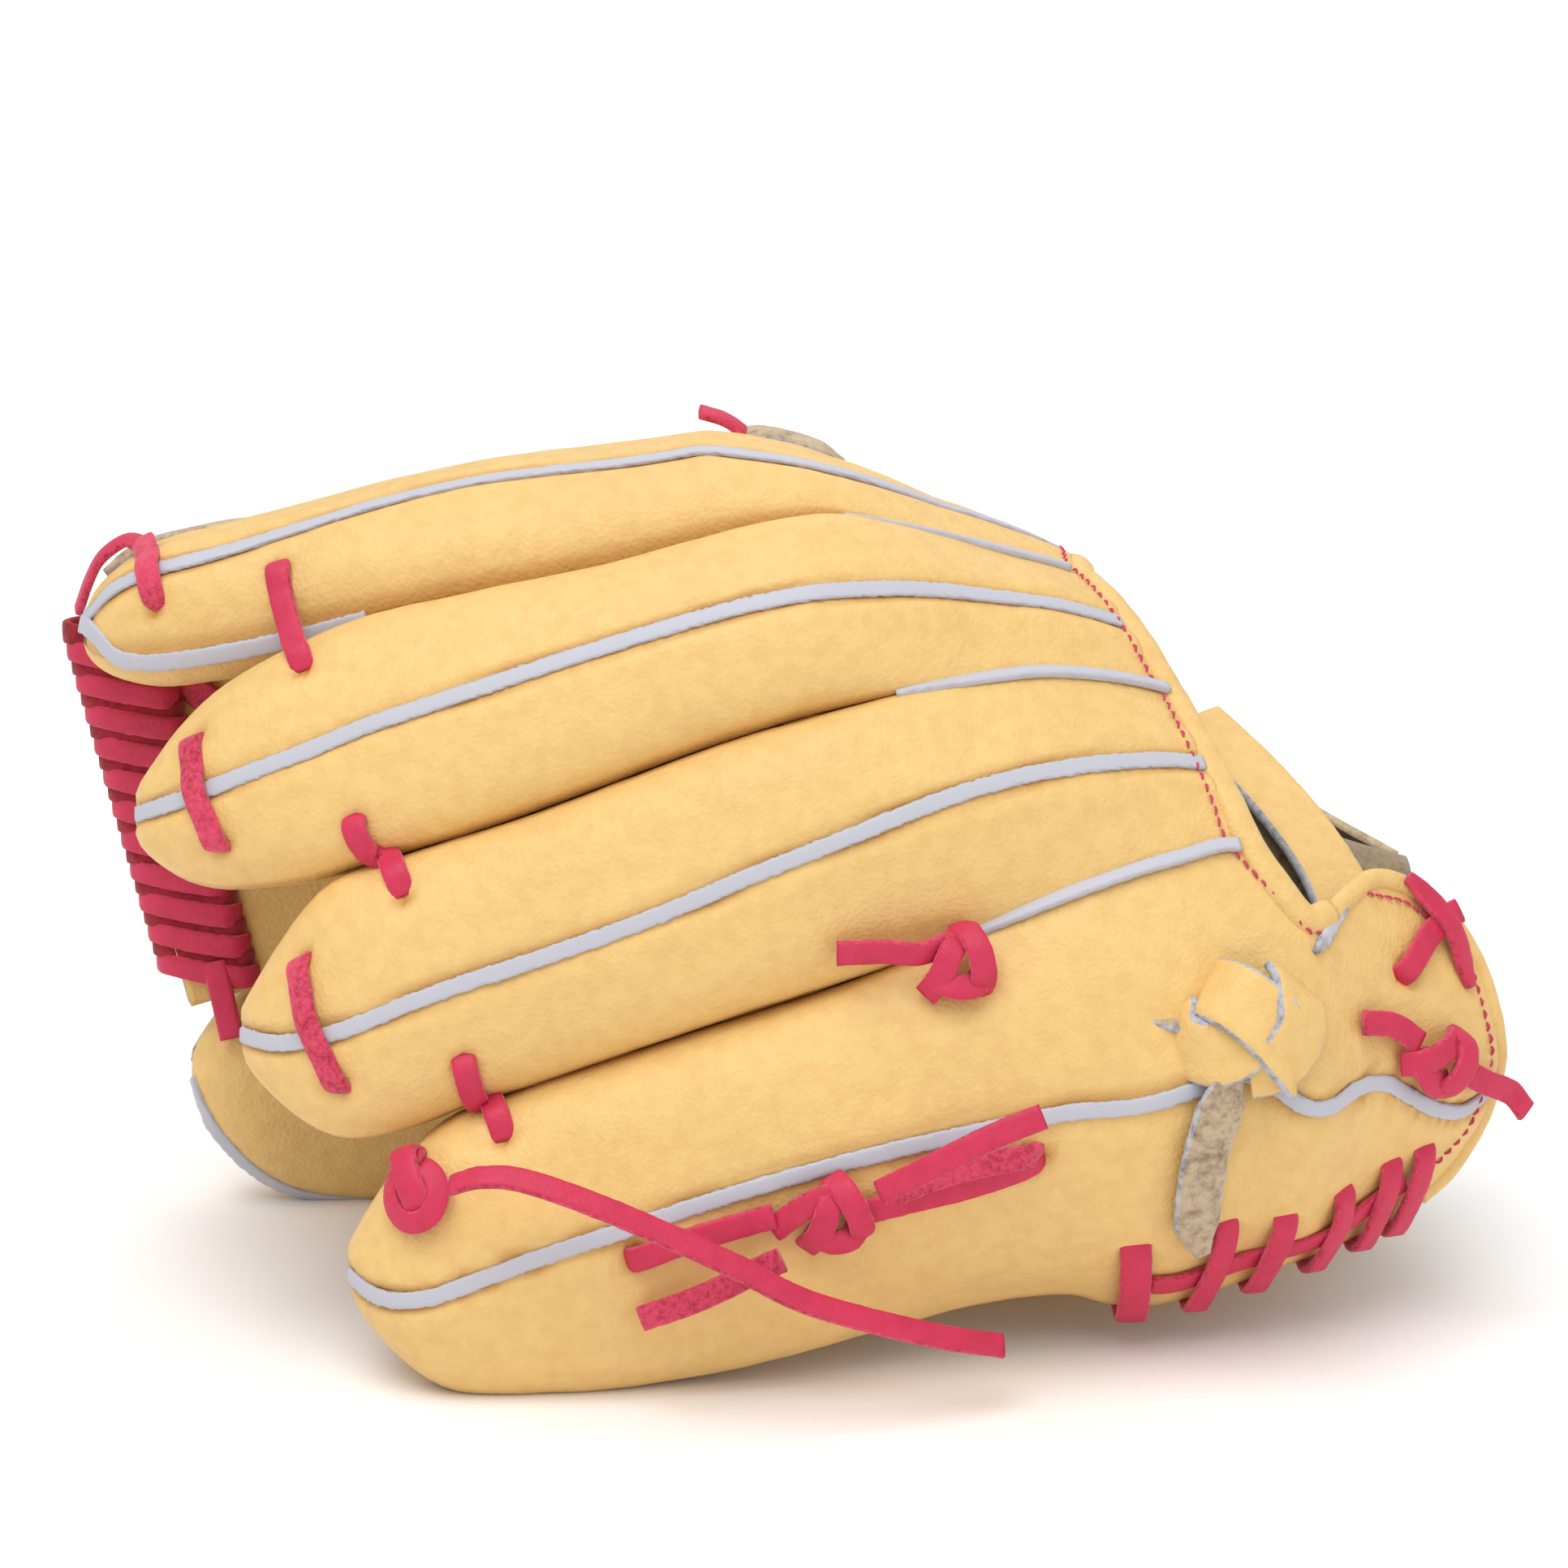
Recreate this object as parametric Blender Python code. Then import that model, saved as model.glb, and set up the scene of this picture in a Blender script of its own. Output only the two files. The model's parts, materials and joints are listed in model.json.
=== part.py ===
"""Baseball glove: a 12 inch fielding glove lying palm down on its pinky edge and its thumb edge.

X runs from the fingertips to the wrist, Y from the pinky side (front) to the thumb side (back) and
Z up. Every table is in millimetres. The glove is an arch: the finger wall in front, the ridge on
top, and the web and the thumb wall behind. The origin is on the table, in the middle of the glove.
"""

import math

import bmesh
import bpy
from mathutils import Vector

MM = 0.001
FOOTPRINT_MIDDLE = Vector((-3.34, -3.55, 0.0))
STALL_WALL = 4.0                    # leather, padding and lining together
PANEL_WALL = 3.0                    # back leather with its backing
GAP = 0.3                           # between pieces that touch
LACE_WIDTH, LACE_THICKNESS = 5.0, 1.9
WELT_WIDTH, WELT_THICKNESS = 2.8, 1.0
TRIM_LIFT = 0.9                     # trim stands this far off a padded surface
FULLNESS = 2.4                      # how square the cross-section of a stall is
STALL_END = 21.0                    # x where the stalls open into the hand space
PANEL_START = 23.6                  # x where the back panels begin
FOLD_ROOM = 7.0                     # leather left out each side of the thumb fold
WEB_BASE = -46.0                    # x where the web ends and the crotch of the thumb begins
WRIST_END = 128.0                   # x where the thumb side ends at the wrist
STALL_SIDES = 18

# Seam lines along the glove, as (x, y, z). A valley is the seam between neighbouring stalls.
HEEL_EDGE = [(30, -38, 10.5), (48, -35, 12.5), (58, -33, 12.5), (66, -31, 9.5), (75, -30, 9),
             (90, -27, 12), (110, -20, 17), (128, -12, 22), (150, -6, 28)]
PINKY_LOW = [(-92, -47, 8), (-75, -49, 2), (-62, -49, -2), (-45, -48, -2), (-30, -47, -1),
             (0, -43, 4)] + HEEL_EDGE
VALLEY_RING_PINKY = [(-62, -37, 54.5), (-17, -38, 71), (15, -38, 82), (40, -38, 92),
                     (61, -36, 100), (77, -32, 104), (91, -27, 105)]
NOTCH_AND_RIM = [(100, -30, 97), (106, -30, 92), (112, -22, 94), (119, -14, 95),
                 (128, -9, 91), (140, -5, 86), (150, -4, 80)]
VALLEY_MIDDLE_RING = [(-80, -20, 100), (-52, -23, 110), (-11, -24, 126), (20, -22, 134.5),
                      (37, -18, 136.6), (54, -12, 136.6), (76, 0, 130), (96, 12, 118)]
VALLEY_INDEX_MIDDLE = [(-81, 8, 143), (-37, 5, 153), (5, 6, 163.5), (22, 10, 161),
                       (47, 20, 152.5), (60, 27, 147), (76, 36, 138)]
INDEX_REAR = [(-146, 46, 134), (-120, 50, 139), (-95, 53, 145), (-60, 53, 153.5), (-27, 51, 158),
              (5, 51, 161), (30, 54, 154), (60, 56, 137), (73, 56, 118), (88, 54, 103),
              (102, 52, 97), (114, 50, 89), (132, 46, 80)]
THUMB_TOP = [(-128, 52, 48), (-100, 56, 53), (-60, 58, 57), (-20, 58, 61), (20, 58, 64),
             (60, 57, 62), (100, 56, 56), (132, 54, 52)]
THUMB_LOW = [(-128, 50, 12), (-112, 55, 4), (-95, 58, -1), (-60, 60, -2), (0, 60, -2),
             (60, 59, -2), (100, 57, -1), (132, 54, 6)]

# The two folds, each a line through two points.
THUMB_FOLD = (Vector((-145, 51, 129)), Vector((115, 51, 72)))
PINKY_FOLD = (Vector((-52, -37.5, 58.5)), Vector((61, -37.2, 100)))

# The palm from the pinky edge over the ridge and down the thumb side: (y, z) at each station.
PALM_STATIONS = (22.0, 60.0, 100.0, 132.0)
PALM_LINES = [[(-30, 10), (-27, 14), (-18, 17), (-4, 26)],
              [(-20, 44), (-10, 47), (4, 49), (20, 50)],
              [(-12, 88), (-4, 86), (8, 76), (21, 66)],
              [(8, 120), (12, 108), (20, 89), (25, 76)],
              [(27, 126), (29, 111), (33, 92), (34, 80)],
              [(44, 101), (43, 93), (44, 84), (42, 77)]]
THUMB_PALM_LINES = [[(45, 84), (44, 76), (44, 67), (44, 60)],
                    [(45, 55), (44, 48), (43, 44), (43, 40)],
                    [(46, 25), (45, 22), (43, 20), (42, 22)],
                    [(53, 3), (53, 3), (52, 3), (49, 8)]]

# The long free lace at the pinky tip and the two side tails, as routes through the air.
PINKY_TAIL = [(-64.5, -69.5, 50), (-58, -71.5, 52.5), (-49, -73, 52), (-32, -74.5, 46),
              (-10, -74.5, 35.5), (5, -73, 27), (28, -67, 18), (43, -61, 13)]
SIDE_TAIL_HIGH = [(18.5, -69.5, 48.5), (25, -71, 52.5), (32, -71.5, 56.5), (41, -71, 61),
                  (50, -70, 64.5)]
SIDE_TAIL_LOW = [(-0.5, -68, 34), (-6, -67, 31), (-13, -66.5, 27), (-20, -65.5, 23.5), (-28, -64, 20)]

FINISHES = {
    "leather": ((0.80, 0.56, 0.25, 1), 0.55),
    "lace": ((0.66, 0.03, 0.12, 1), 0.60),
    "welt": ((0.50, 0.50, 0.56, 1), 0.85),
    "lining": ((0.34, 0.25, 0.16, 1), 0.90),
    "felt": ((0.72, 0.70, 0.66, 1), 0.95),
}


# ---------------------------------------------------------------- curves and walls

def through(points):
    """A smooth curve through the points, read by its x."""
    points = [Vector(p) for p in points]
    last = len(points) - 1

    def slope(i):
        before, after = points[max(i - 1, 0)], points[min(i + 1, last)]
        return (after - before) / (after.x - before.x)

    def at(x):
        i = 0
        while i < last - 1 and x > points[i + 1].x:
            i += 1
        a, b = points[i], points[i + 1]
        step = b.x - a.x
        t = (x - a.x) / step
        if t < 0:
            return a + slope(0) * (x - a.x)
        if t > 1:
            return b + slope(last) * (x - b.x)
        near, far = slope(i) * step, slope(i + 1) * step
        return (a * (2 * t**3 - 3 * t**2 + 1) + near * (t**3 - 2 * t**2 + t)
                + b * (3 * t**2 - 2 * t**3) + far * (t**3 - t**2))

    return at


def smooth(points, count):
    """count points evenly spread by number along a smooth curve through points."""
    points = [Vector(p) for p in points]
    points = [2 * points[0] - points[1]] + points + [2 * points[-1] - points[-2]]
    route = []
    for k in range(count):
        u = k / (count - 1) * (len(points) - 3)
        i = min(int(u), len(points) - 4)
        t = u - i
        a, b, c, d = points[i:i + 4]
        route.append(0.5 * (2 * b + (c - a) * t + (2 * a - 5 * b + 4 * c - d) * t**2
                            + (3 * b - a - 3 * c + d) * t**3))
    return route


def between(table, x):
    """Straight-line reading of (x, value) pairs."""
    for (a, first), (b, final) in zip(table, table[1:]):
        if x <= b:
            return first + (final - first) * max(0.0, (x - a) / (b - a))
    return table[-1][1]


def ramp(x, start, end, first, final):
    """first before start, final after end, an even S between them."""
    t = min(max((x - start) / (end - start), 0), 1)
    return first + (final - first) * t * t * (3 - 2 * t)


def fold_line(x, offset):
    """A point on the thumb fold, moved up by offset."""
    a, b = THUMB_FOLD
    return a + (b - a) * (x - a.x) / (b.x - a.x) + Vector((0, 0, offset))


class Wall:
    """The stretch of the arch between two lines: it swells outwards and inwards between them."""

    def __init__(self, low, high, swell, inward=((0, 13), (1, 13)), tip=None, nose=22.0, end=None, clear=GAP):
        self.low, self.high = through(low), through(high)
        self.swell, self.inward = swell, inward
        self.tip, self.nose, self.end, self.clear = tip, nose, end, clear

    def taper(self, x):
        inset = 0.0
        if self.tip is not None:
            inset = max(inset, (self.tip + self.nose - x) / self.nose)
        if self.end is not None:
            inset = max(inset, (x - self.end + self.nose) / self.nose)
        return math.sqrt(max(0.0, 1 - min(inset, 1) ** 2))

    def point(self, x, across, rise):
        """across runs -1 to 1 from low to high; rise runs -1 (inside) to 1 (outside)."""
        low, high = self.low(x), self.high(x)
        half = (high - low) / 2
        half *= max(0.0, 1 - self.clear / half.length)
        along = half.normalized()
        outward = Vector((0, -along.z, along.y))
        depth = between(self.swell, x) if rise > 0 else between(self.inward, x)
        grow = self.taper(x)
        spot = (low + high) / 2 + half * across * grow + outward * depth * rise * grow
        spot.z = max(spot.z, 0.0)
        return spot

    def skin(self, x, across):
        """The outer surface: full and round on the stalls, flatter over the hand."""
        across = max(-1.0, min(1.0, across))
        full = (1 - abs(across) ** FULLNESS) ** (1 / FULLNESS)
        flat = 1 - across * across
        return self.point(x, across, max(full + ramp(x, 0, 50, 0, 1) * (flat - full), 1e-6))

    def out(self, x, across):
        """Unit direction straight out of the skin."""
        step = 0.05
        span = 1.0
        ahead, behind = self.skin(x + span, across), self.skin(x - span, across)
        inner = max(-0.95, min(0.95, across))
        up, down = self.skin(x, inner + step), self.skin(x, inner - step)
        return (up - down).cross(ahead - behind).normalized() * -1

    def above(self, x, across, lift):
        return self.skin(x, across) + self.out(x, across) * lift


INDEX = Wall([(-146, 20, 128), (-120, 16, 132), (-100, 12, 137)] + VALLEY_INDEX_MIDDLE,
             INDEX_REAR, [(-100, 18), (-60, 17.5), (-16, 16), (9, 8), (31, 4.5), (60, 4)],
             inward=[(-60, 10.5), (0, 12), (21, 14)], tip=-144.5, clear=2.7)
MIDDLE = Wall([(-135, -6, 88), (-117, -9, 90), (-96, -15, 94)] + VALLEY_MIDDLE_RING,
              [(-135, 6, 116), (-120, 6, 125), (-100, 7, 136)] + VALLEY_INDEX_MIDDLE,
              [(-40, 15), (5, 12), (46, 5), (75, 3)], inward=[(-40, 12), (21, 15)],
              tip=-131.0, clear=0.8)
RING = Wall([(-112, -27, 50), (-98, -30, 47), (-85, -34, 46.5), (-73, -36.5, 50)]
            + VALLEY_RING_PINKY,
            [(-112, -14, 78), (-101, -16, 87), (-91, -18, 95)] + VALLEY_MIDDLE_RING,
            [(-40, 15), (5, 14), (29, 11), (53, 7), (83, 4)], tip=-109.0, clear=0.5)
PINKY = Wall(PINKY_LOW,
             [(-92, -35, 36), (-82, -36, 42), (-72, -37, 49)] + VALLEY_RING_PINKY + NOTCH_AND_RIM,
             [(-60, 17), (20, 18), (60, 20), (100, 20), (128, 16)], tip=-87.0, end=146.0,
             clear=1.0)
THUMB = Wall(THUMB_TOP, THUMB_LOW, [(-127, 13), (132, 13)], tip=-127.0)


# ---------------------------------------------------------------- building

def clear_scene():
    for old in list(bpy.data.objects):
        bpy.data.objects.remove(old, do_unlink=True)


def material(finish):
    made = bpy.data.materials.get(finish)
    if made is None:
        made = bpy.data.materials.new(finish)
        made.use_nodes = True
        shader = made.node_tree.nodes["Principled BSDF"]
        colour, roughness = FINISHES[finish]
        shader.inputs["Base Color"].default_value = colour
        shader.inputs["Roughness"].default_value = roughness
        shader.inputs["Metallic"].default_value = 0.0
    return made


def body(name, fold=None):
    """An empty that carries one moving body, on its fold's line."""
    empty = bpy.data.objects.new(name, None)
    if fold:
        empty.location = ((fold[0] + fold[1]) / 2 + FOOTPRINT_MIDDLE) * MM
    bpy.context.collection.objects.link(empty)
    return empty


def add(name, data, parent, finish):
    """Name a mesh or curve, put its origin in its middle and hang it on its body."""
    piece = bpy.data.objects.new(name, data)
    data.materials.append(material(finish))
    bpy.context.collection.objects.link(piece)
    piece.parent = parent
    corners = [Vector(c) for c in piece.bound_box]
    middle = (corners[0] + corners[6]) / 2
    if isinstance(data, bpy.types.Mesh):
        for vertex in data.vertices:
            vertex.co -= middle
    else:
        for spot in data.splines[0].points:
            spot.co.xyz -= middle
    piece.location = middle - parent.location
    return piece


def to_mesh(name, bm):
    for vertex in bm.verts:
        vertex.co = (vertex.co + FOOTPRINT_MIDDLE) * MM
    bmesh.ops.recalc_face_normals(bm, faces=bm.faces[:])
    data = bpy.data.meshes.new(name)
    bm.to_mesh(data)
    bm.free()
    data.shade_smooth()
    return data


def weave(bm, rows, around):
    """Faces between rows of vertices; around closes each row on itself."""
    for here, there in zip(rows, rows[1:]):
        count = len(here)
        for i in range(count if around else count - 1):
            j = (i + 1) % count
            bm.faces.new((here[i], there[i], there[j], here[j]))


def thicken(piece, wall, side):
    shell = piece.modifiers.new("wall", "SOLIDIFY")
    shell.thickness = wall * MM
    shell.offset = side
    return piece


def stall(name, wall, parent, end=STALL_END):
    """A padded finger tube: closed round nose, open mouth at the hand."""
    bm = bmesh.new()
    nose = [wall.tip + wall.nose * (1 - math.cos(math.radians(a))) for a in (18, 36, 54, 72, 90)]
    count = 11
    stations = nose + [nose[-1] + (end - nose[-1]) * k / count for k in range(1, count + 1)]
    rows = []
    for x in stations:
        row = []
        for k in range(STALL_SIDES):
            angle = 2 * math.pi * k / STALL_SIDES
            cos, sin = math.cos(angle), math.sin(angle)
            across = -math.copysign(abs(cos) ** (2 / FULLNESS), cos)
            rise = math.copysign(abs(sin) ** (2 / FULLNESS), sin)
            row.append(bm.verts.new(wall.point(x, across, rise)))
        rows.append(row)
    weave(bm, rows, True)
    pole = bm.verts.new(wall.point(wall.tip, 0, 0.01))
    for k in range(STALL_SIDES):
        bm.faces.new((pole, rows[0][k], rows[0][(k + 1) % STALL_SIDES]))
    return thicken(add(name, to_mesh(name, bm), parent, "leather"), STALL_WALL, -1)


def sheet(name, rows, wall, parent, finish, outward):
    """A curved sheet over a grid of points, thickened away from outward."""
    bm = bmesh.new()
    weave(bm, [[bm.verts.new(p) for p in row] for row in rows], False)
    data = to_mesh(name, bm)
    if sum((f.normal.dot(outward) for f in data.polygons)) < 0:
        data.flip_normals()
    return thicken(add(name, data, parent, finish), wall, -1)


def panel(name, wall, start, ends, parent, inset=0.0, thickness=PANEL_WALL, finish="leather",
          low=-1.0, high=1.0, columns=9, steps=7):
    """Back leather of one wall from start to ends (x at its low edge, x at its high edge)."""
    rows = []
    for i in range(steps + 1):
        row = []
        for j in range(columns):
            t = j / (columns - 1)
            across = low + (high - low) * t
            end = ends[0] + (ends[1] - ends[0]) * t
            x = start + (end - start) * i / steps
            row.append(wall.skin(x, across) - wall.out(x, across) * inset)
        rows.append(row)
    middle = wall.out((start + ends[0]) / 2, (low + high) / 2)
    return sheet(name, rows, thickness, parent, finish, middle)


def ribbon(name, path, normals, width, thickness, parent, finish):
    """A flat strip along path, its underside on the path."""
    bm = bmesh.new()
    rows = []
    for i, (spot, normal) in enumerate(zip(path, normals)):
        ahead = path[min(i + 1, len(path) - 1)] - path[max(i - 1, 0)]
        side = ahead.cross(normal).normalized() * width / 2
        top = normal * thickness
        corners = (spot - side, spot + side, spot + side + top, spot - side + top)
        rows.append([bm.verts.new(c) for c in corners])
    weave(bm, rows, True)
    bm.faces.new(rows[0])
    bm.faces.new(rows[-1][::-1])
    return add(name, to_mesh(name, bm), parent, finish)


def welt(name, wall, route, parent, lift=TRIM_LIFT, pieces=14):
    """The flat cord in a seam; route is (x, across) pairs."""
    spots = smooth([(x, s, 0) for x, s in route], pieces)
    path = [wall.above(p.x, p.y, lift) for p in spots]
    normals = [wall.out(p.x, p.y) for p in spots]
    return ribbon(name, path, normals, WELT_WIDTH, WELT_THICKNESS, parent, "welt")


def lace(name, stops, parent, lift=1.3, width=LACE_WIDTH, thickness=LACE_THICKNESS, finish="lace",
         pieces=8):
    """A flat lace over the surface; stops are (wall, x, across) or (wall, x, across, own lift)."""
    spots, outs = [], []
    for stop in stops:
        wall, x, across = stop[:3]
        spots.append(wall.above(x, across, stop[3] if len(stop) > 3 else lift))
        outs.append(wall.out(x, across))
    normals = [n.normalized() for n in smooth(outs, pieces)]
    return ribbon(name, smooth(spots, pieces), normals, width, thickness, parent, finish)


def knot(name, spot, size, parent, finish="lace", tilt=0.0):
    """A tied knot as one rounded lump; size is its three diameters."""
    bm = bmesh.new()
    bmesh.ops.create_icosphere(bm, subdivisions=2, radius=0.5)
    bmesh.ops.scale(bm, vec=size, verts=bm.verts)
    for vertex in bm.verts:
        x, z = vertex.co.x, vertex.co.z
        vertex.co.x = x * math.cos(tilt) - z * math.sin(tilt)
        vertex.co.z = x * math.sin(tilt) + z * math.cos(tilt)
        vertex.co += Vector(spot)
    return add(name, to_mesh(name, bm), parent, finish)


def tube(name, route, radius, parent, finish="lace", count=20, sides=2):
    """A round cord along a smooth curve through route, with filled ends."""
    data = bpy.data.curves.new(name, "CURVE")
    data.dimensions = "3D"
    data.bevel_depth = radius * MM
    data.bevel_resolution = sides
    data.use_fill_caps = True
    line = data.splines.new("POLY")
    spots = smooth(route, count)
    line.points.add(len(spots) - 1)
    for point, spot in zip(line.points, spots):
        point.co = (*((spot + FOOTPRINT_MIDDLE) * MM), 1)
    return add(name, data, parent, finish)


def palm_rows(lines, start, end, steps, columns, inset):
    """A grid over the palm's pocket side, moved inset towards the hand."""
    at = [through([(x, y, z) for x, (y, z) in zip(PALM_STATIONS, line)]) for line in lines]
    rows = []
    for i in range(steps + 1):
        x = start + (end - start) * i / steps
        line = smooth([curve(x) for curve in at], columns)
        row = []
        for j, spot in enumerate(line):
            ahead = line[min(j + 1, columns - 1)] - line[max(j - 1, 0)]
            row.append(spot + Vector((0, -ahead.z, ahead.y)).normalized() * inset)
        rows.append(row)
    return rows


def rolled_edge(name, stops, parent, radius=2.6, count=26):
    """The rolled leather binding, just outside an edge of the leather."""
    return tube(name, stops, radius, parent, "leather", count, 3)


# ---------------------------------------------------------------- the glove

def finger_wall(root, pinky):
    for name, wall, parent in (("index_stall", INDEX, root), ("middle_stall", MIDDLE, root),
                               ("ring_stall", RING, root), ("pinky_stall", PINKY, pinky)):
        stall(name, wall, parent)
    panel("index_back", INDEX, PANEL_START, (59, 57), root)
    panel("middle_back", MIDDLE, PANEL_START, (75.5, 60), root)
    panel("ring_back", RING, PANEL_START, (89, 76), root)
    panel("pinky_back", PINKY, PANEL_START, (59.6, 59.6), root)
    panel("heel_flap", PINKY, 60.4, (145.2, 145.2), root, steps=14)
    panel("heel_lining", PINKY, 63, (130, 130), root, inset=PANEL_WALL + 0.9, thickness=1.0,
          finish="lining", low=-0.85, high=0.85, columns=7)
    panel("pinky_stiffener", PINKY, 64, (120, 120), root, inset=PANEL_WALL + 3.8,
          thickness=2.5, finish="felt", low=-0.7, high=0.2, columns=6)


def seams(root, pinky):
    welt("index_welt", INDEX, [(-141, -0.1), (-120, -0.12), (-60, -0.1), (0, -0.02), (50, 0.1)],
         root)
    welt("middle_welt", MIDDLE, [(-128.5, 0), (-110, -0.1), (-40, -0.1), (20, -0.05), (64, 0.1)], root)
    welt("ring_welt", RING, [(-106.5, 0), (-90, 0), (-40, 0), (20, 0.02), (79, 0.12)], root)
    welt("pinky_welt", PINKY, [(-84.5, -0.25), (-70, -0.15), (-40, 0.02), (-10, 0.2), (19.5, 0.3)],
         pinky)
    welt("heel_welt", PINKY, [(22.5, 0.3), (50, 0.2), (80, 0.16), (110, 0.1), (143, -0.15)], root)
    welt("index_middle_welt", MIDDLE, [(34, 1), (45, 1), (56, 1)], root, lift=2.6, pieces=5)
    welt("middle_ring_welt", RING, [(38, 1), (55, 1), (73, 1)], root, lift=3.0, pieces=7)
    welt("ring_pinky_welt", PINKY, [(48, 1), (65, 1), (86, 1)], root, lift=4.6, pieces=7)


def palm(root):
    down = Vector((0, 1, -0.4))
    sheet("palm_leather", palm_rows(PALM_LINES, 22.2, 128, 10, 17, 0), 2.6, root, "leather", down)
    sheet("palm_lining", [row[1:-1] for row in palm_rows(PALM_LINES, 26, 125, 10, 17, 3.6)], 1.0,
          root, "lining", down)


def thumb_wall(root, thumb):
    stall("thumb_stall", THUMB, thumb)
    inner = Vector((0, -1, 0))
    panel("thumb_back", THUMB, PANEL_START, (WRIST_END, WRIST_END), thumb, steps=9)
    sheet("thumb_palm", palm_rows(THUMB_PALM_LINES, 22.2, WRIST_END, 9, 9, 0), 2.6, thumb,
          "leather", inner)

    stations = [WEB_BASE + 1 + (STALL_END - WEB_BASE - 1) * k / 6 for k in range(7)]
    ridge = Wall([below_index(x, 8) for x in stations],
                 [fold_line(x, FOLD_ROOM) + Vector((0, 5, 0)) for x in stations], even(5))
    crotch = Wall([fold_line(x, -FOLD_ROOM) + Vector((0, 5, 0)) for x in stations],
                  [above_thumb(x) for x in stations], even(5))
    panel("ridge_pad", ridge, stations[0], (STALL_END, STALL_END), root, thickness=7, columns=7)
    panel("crotch_pad", crotch, stations[0], (STALL_END, STALL_END), thumb, thickness=7, columns=6)

    stations = [PANEL_START + (WRIST_END - PANEL_START) * k / 8 for k in range(9)]
    ridge = Wall([below_index(x, 2.5) for x in stations],
                 [fold_line(x, FOLD_ROOM) + Vector((0, 9, 0)) for x in stations], even(8))
    crotch = Wall([fold_line(x, -FOLD_ROOM) + Vector((0, 9, 0)) for x in stations],
                  [above_thumb(x) for x in stations], even(6))
    panel("ridge_back", ridge, PANEL_START, (WRIST_END, WRIST_END), root, columns=6, steps=9)
    panel("crotch_back", crotch, PANEL_START, (WRIST_END, WRIST_END), thumb, columns=5, steps=9)
    welt("thumb_welt", THUMB, [(-124.5, 0.3), (-100, 0.2), (-40, 0), (19.5, 0)], thumb)
    welt("thumb_heel_welt", THUMB, [(22.5, 0), (70, 0), (124, 0)], thumb)


def below_index(x, drop):
    """Just behind and under the index stall's rear edge."""
    return through(INDEX_REAR)(x) + Vector((0, 3, -drop))


def above_thumb(x):
    """Just above the thumb stall's top edge."""
    return through(THUMB_TOP)(x) + Vector((0, 0, 1.2))


def even(depth):
    """The same swell all along a wall."""
    return [(-150, depth), (150, depth)]


def web(root, thumb):
    """The closed web: one panel below the fold, a strip above it, lacing round the free edge."""
    def edge(z):
        return -149 + 20 * (137 - z) / 87

    def rows(low, high, margin, columns, steps):
        grid = []
        for i in range(steps + 1):
            t = i / steps
            row = []
            for j in range(columns):
                s = j / (columns - 1)
                x = edge(100) + margin + (WEB_BASE - 1.5 - edge(100) - margin) * t
                top, bottom = low(x), high(x)
                z = top.z + (bottom.z - top.z) * s
                x = edge(z) + margin + (WEB_BASE - 1.5 - edge(z) - margin) * t
                top, bottom = low(x), high(x)
                spot = top.lerp(bottom, s)
                spot.y += 2.5 * math.sin(math.pi * t)
                row.append(spot)
            grid.append(row)
        return grid

    outer = Vector((0, 1, 0))
    above = rows(lambda x: through(INDEX_REAR)(x) + Vector((0, 2.6, -8.5)),
                 lambda x: fold_line(x, 1.5), 3.0, 4, 7)
    sheet("web_index_side", above, 4.0, root, "leather", outer)
    below = rows(lambda x: fold_line(x, -1.5),
                 lambda x: through(THUMB_TOP)(x) + Vector((0, -1.5, 1.5)), 14.5, 8, 8)
    sheet("web_panel", below, 4.0, thumb, "leather", outer)

    path = [Vector((edge(z) + 7, 0, z)) for z in (122, 108, 94, 80, 66, 56)]
    for spot in path:
        spot.y = fold_line(spot.x, 0).y - 1.5 + (129 - spot.z) * 0.05
    side = [Vector((0, -1, 0))] * len(path)
    low = [spot + Vector((0, 4, 0)) for spot in path]
    ribbon("web_edge_lace", low, side, 13.6, 8.0, thumb, "lace")
    bar = [Vector((-84, 49.0, z)) for z in (94, 84, 74, 66)]
    ribbon("web_bar", bar, [Vector((0, -1, 0))] * 4, 9.0, 1.6, thumb, "leather")
    strap = [Vector((-121 + 1.2 * k, 45.5 - 0.9 * k, 56 - 5.5 * k)) for k in range(4)]
    ribbon("web_thumb_lace", strap, [Vector((0, -1, 0))] * 4, LACE_WIDTH, LACE_THICKNESS, thumb,
           "lace")


def finger_laces(root, pinky):
    lace("index_middle_lace", [(INDEX, -102, -0.5), (INDEX, -101, -0.86), (MIDDLE, -98.5, 0.9),
                               (MIDDLE, -97, 0.6)], root)
    lace("middle_ring_lace", [(MIDDLE, -86, -0.62), (MIDDLE, -84, -0.86), (RING, -79.5, 0.9),
                              (RING, -77, 0.66)], root)
    lace("ring_pinky_lace", [(RING, -63, -0.62), (RING, -61.5, -0.86), (PINKY, -58, 0.92, 1.6),
                             (PINKY, -56, 0.7, 1.2)], root)
    lace("index_tip_lace", [(INDEX, -128, 0.62), (INDEX, -128, 0.3), (INDEX, -128, -0.05, 3.1),
                            (INDEX, -128, -0.35)], root)
    lace("middle_tip_lace", [(MIDDLE, -118.5, 0.5), (MIDDLE, -118, 0.2), (MIDDLE, -117, 0, 2.8),
                             (MIDDLE, -115, -0.45)], root)
    lace("ring_tip_lace", [(RING, -97, 0.5), (RING, -96, 0.2), (RING, -94, 0, 2.8),
                           (RING, -90, -0.5)], root)
    knot("pinky_tip_knot", PINKY.above(-71, 0.3, 4.2), (15, 4.5, 17), pinky, tilt=0.3)
    tube("pinky_tail", PINKY_TAIL, LACE_WIDTH / 2, pinky, count=24)


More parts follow.
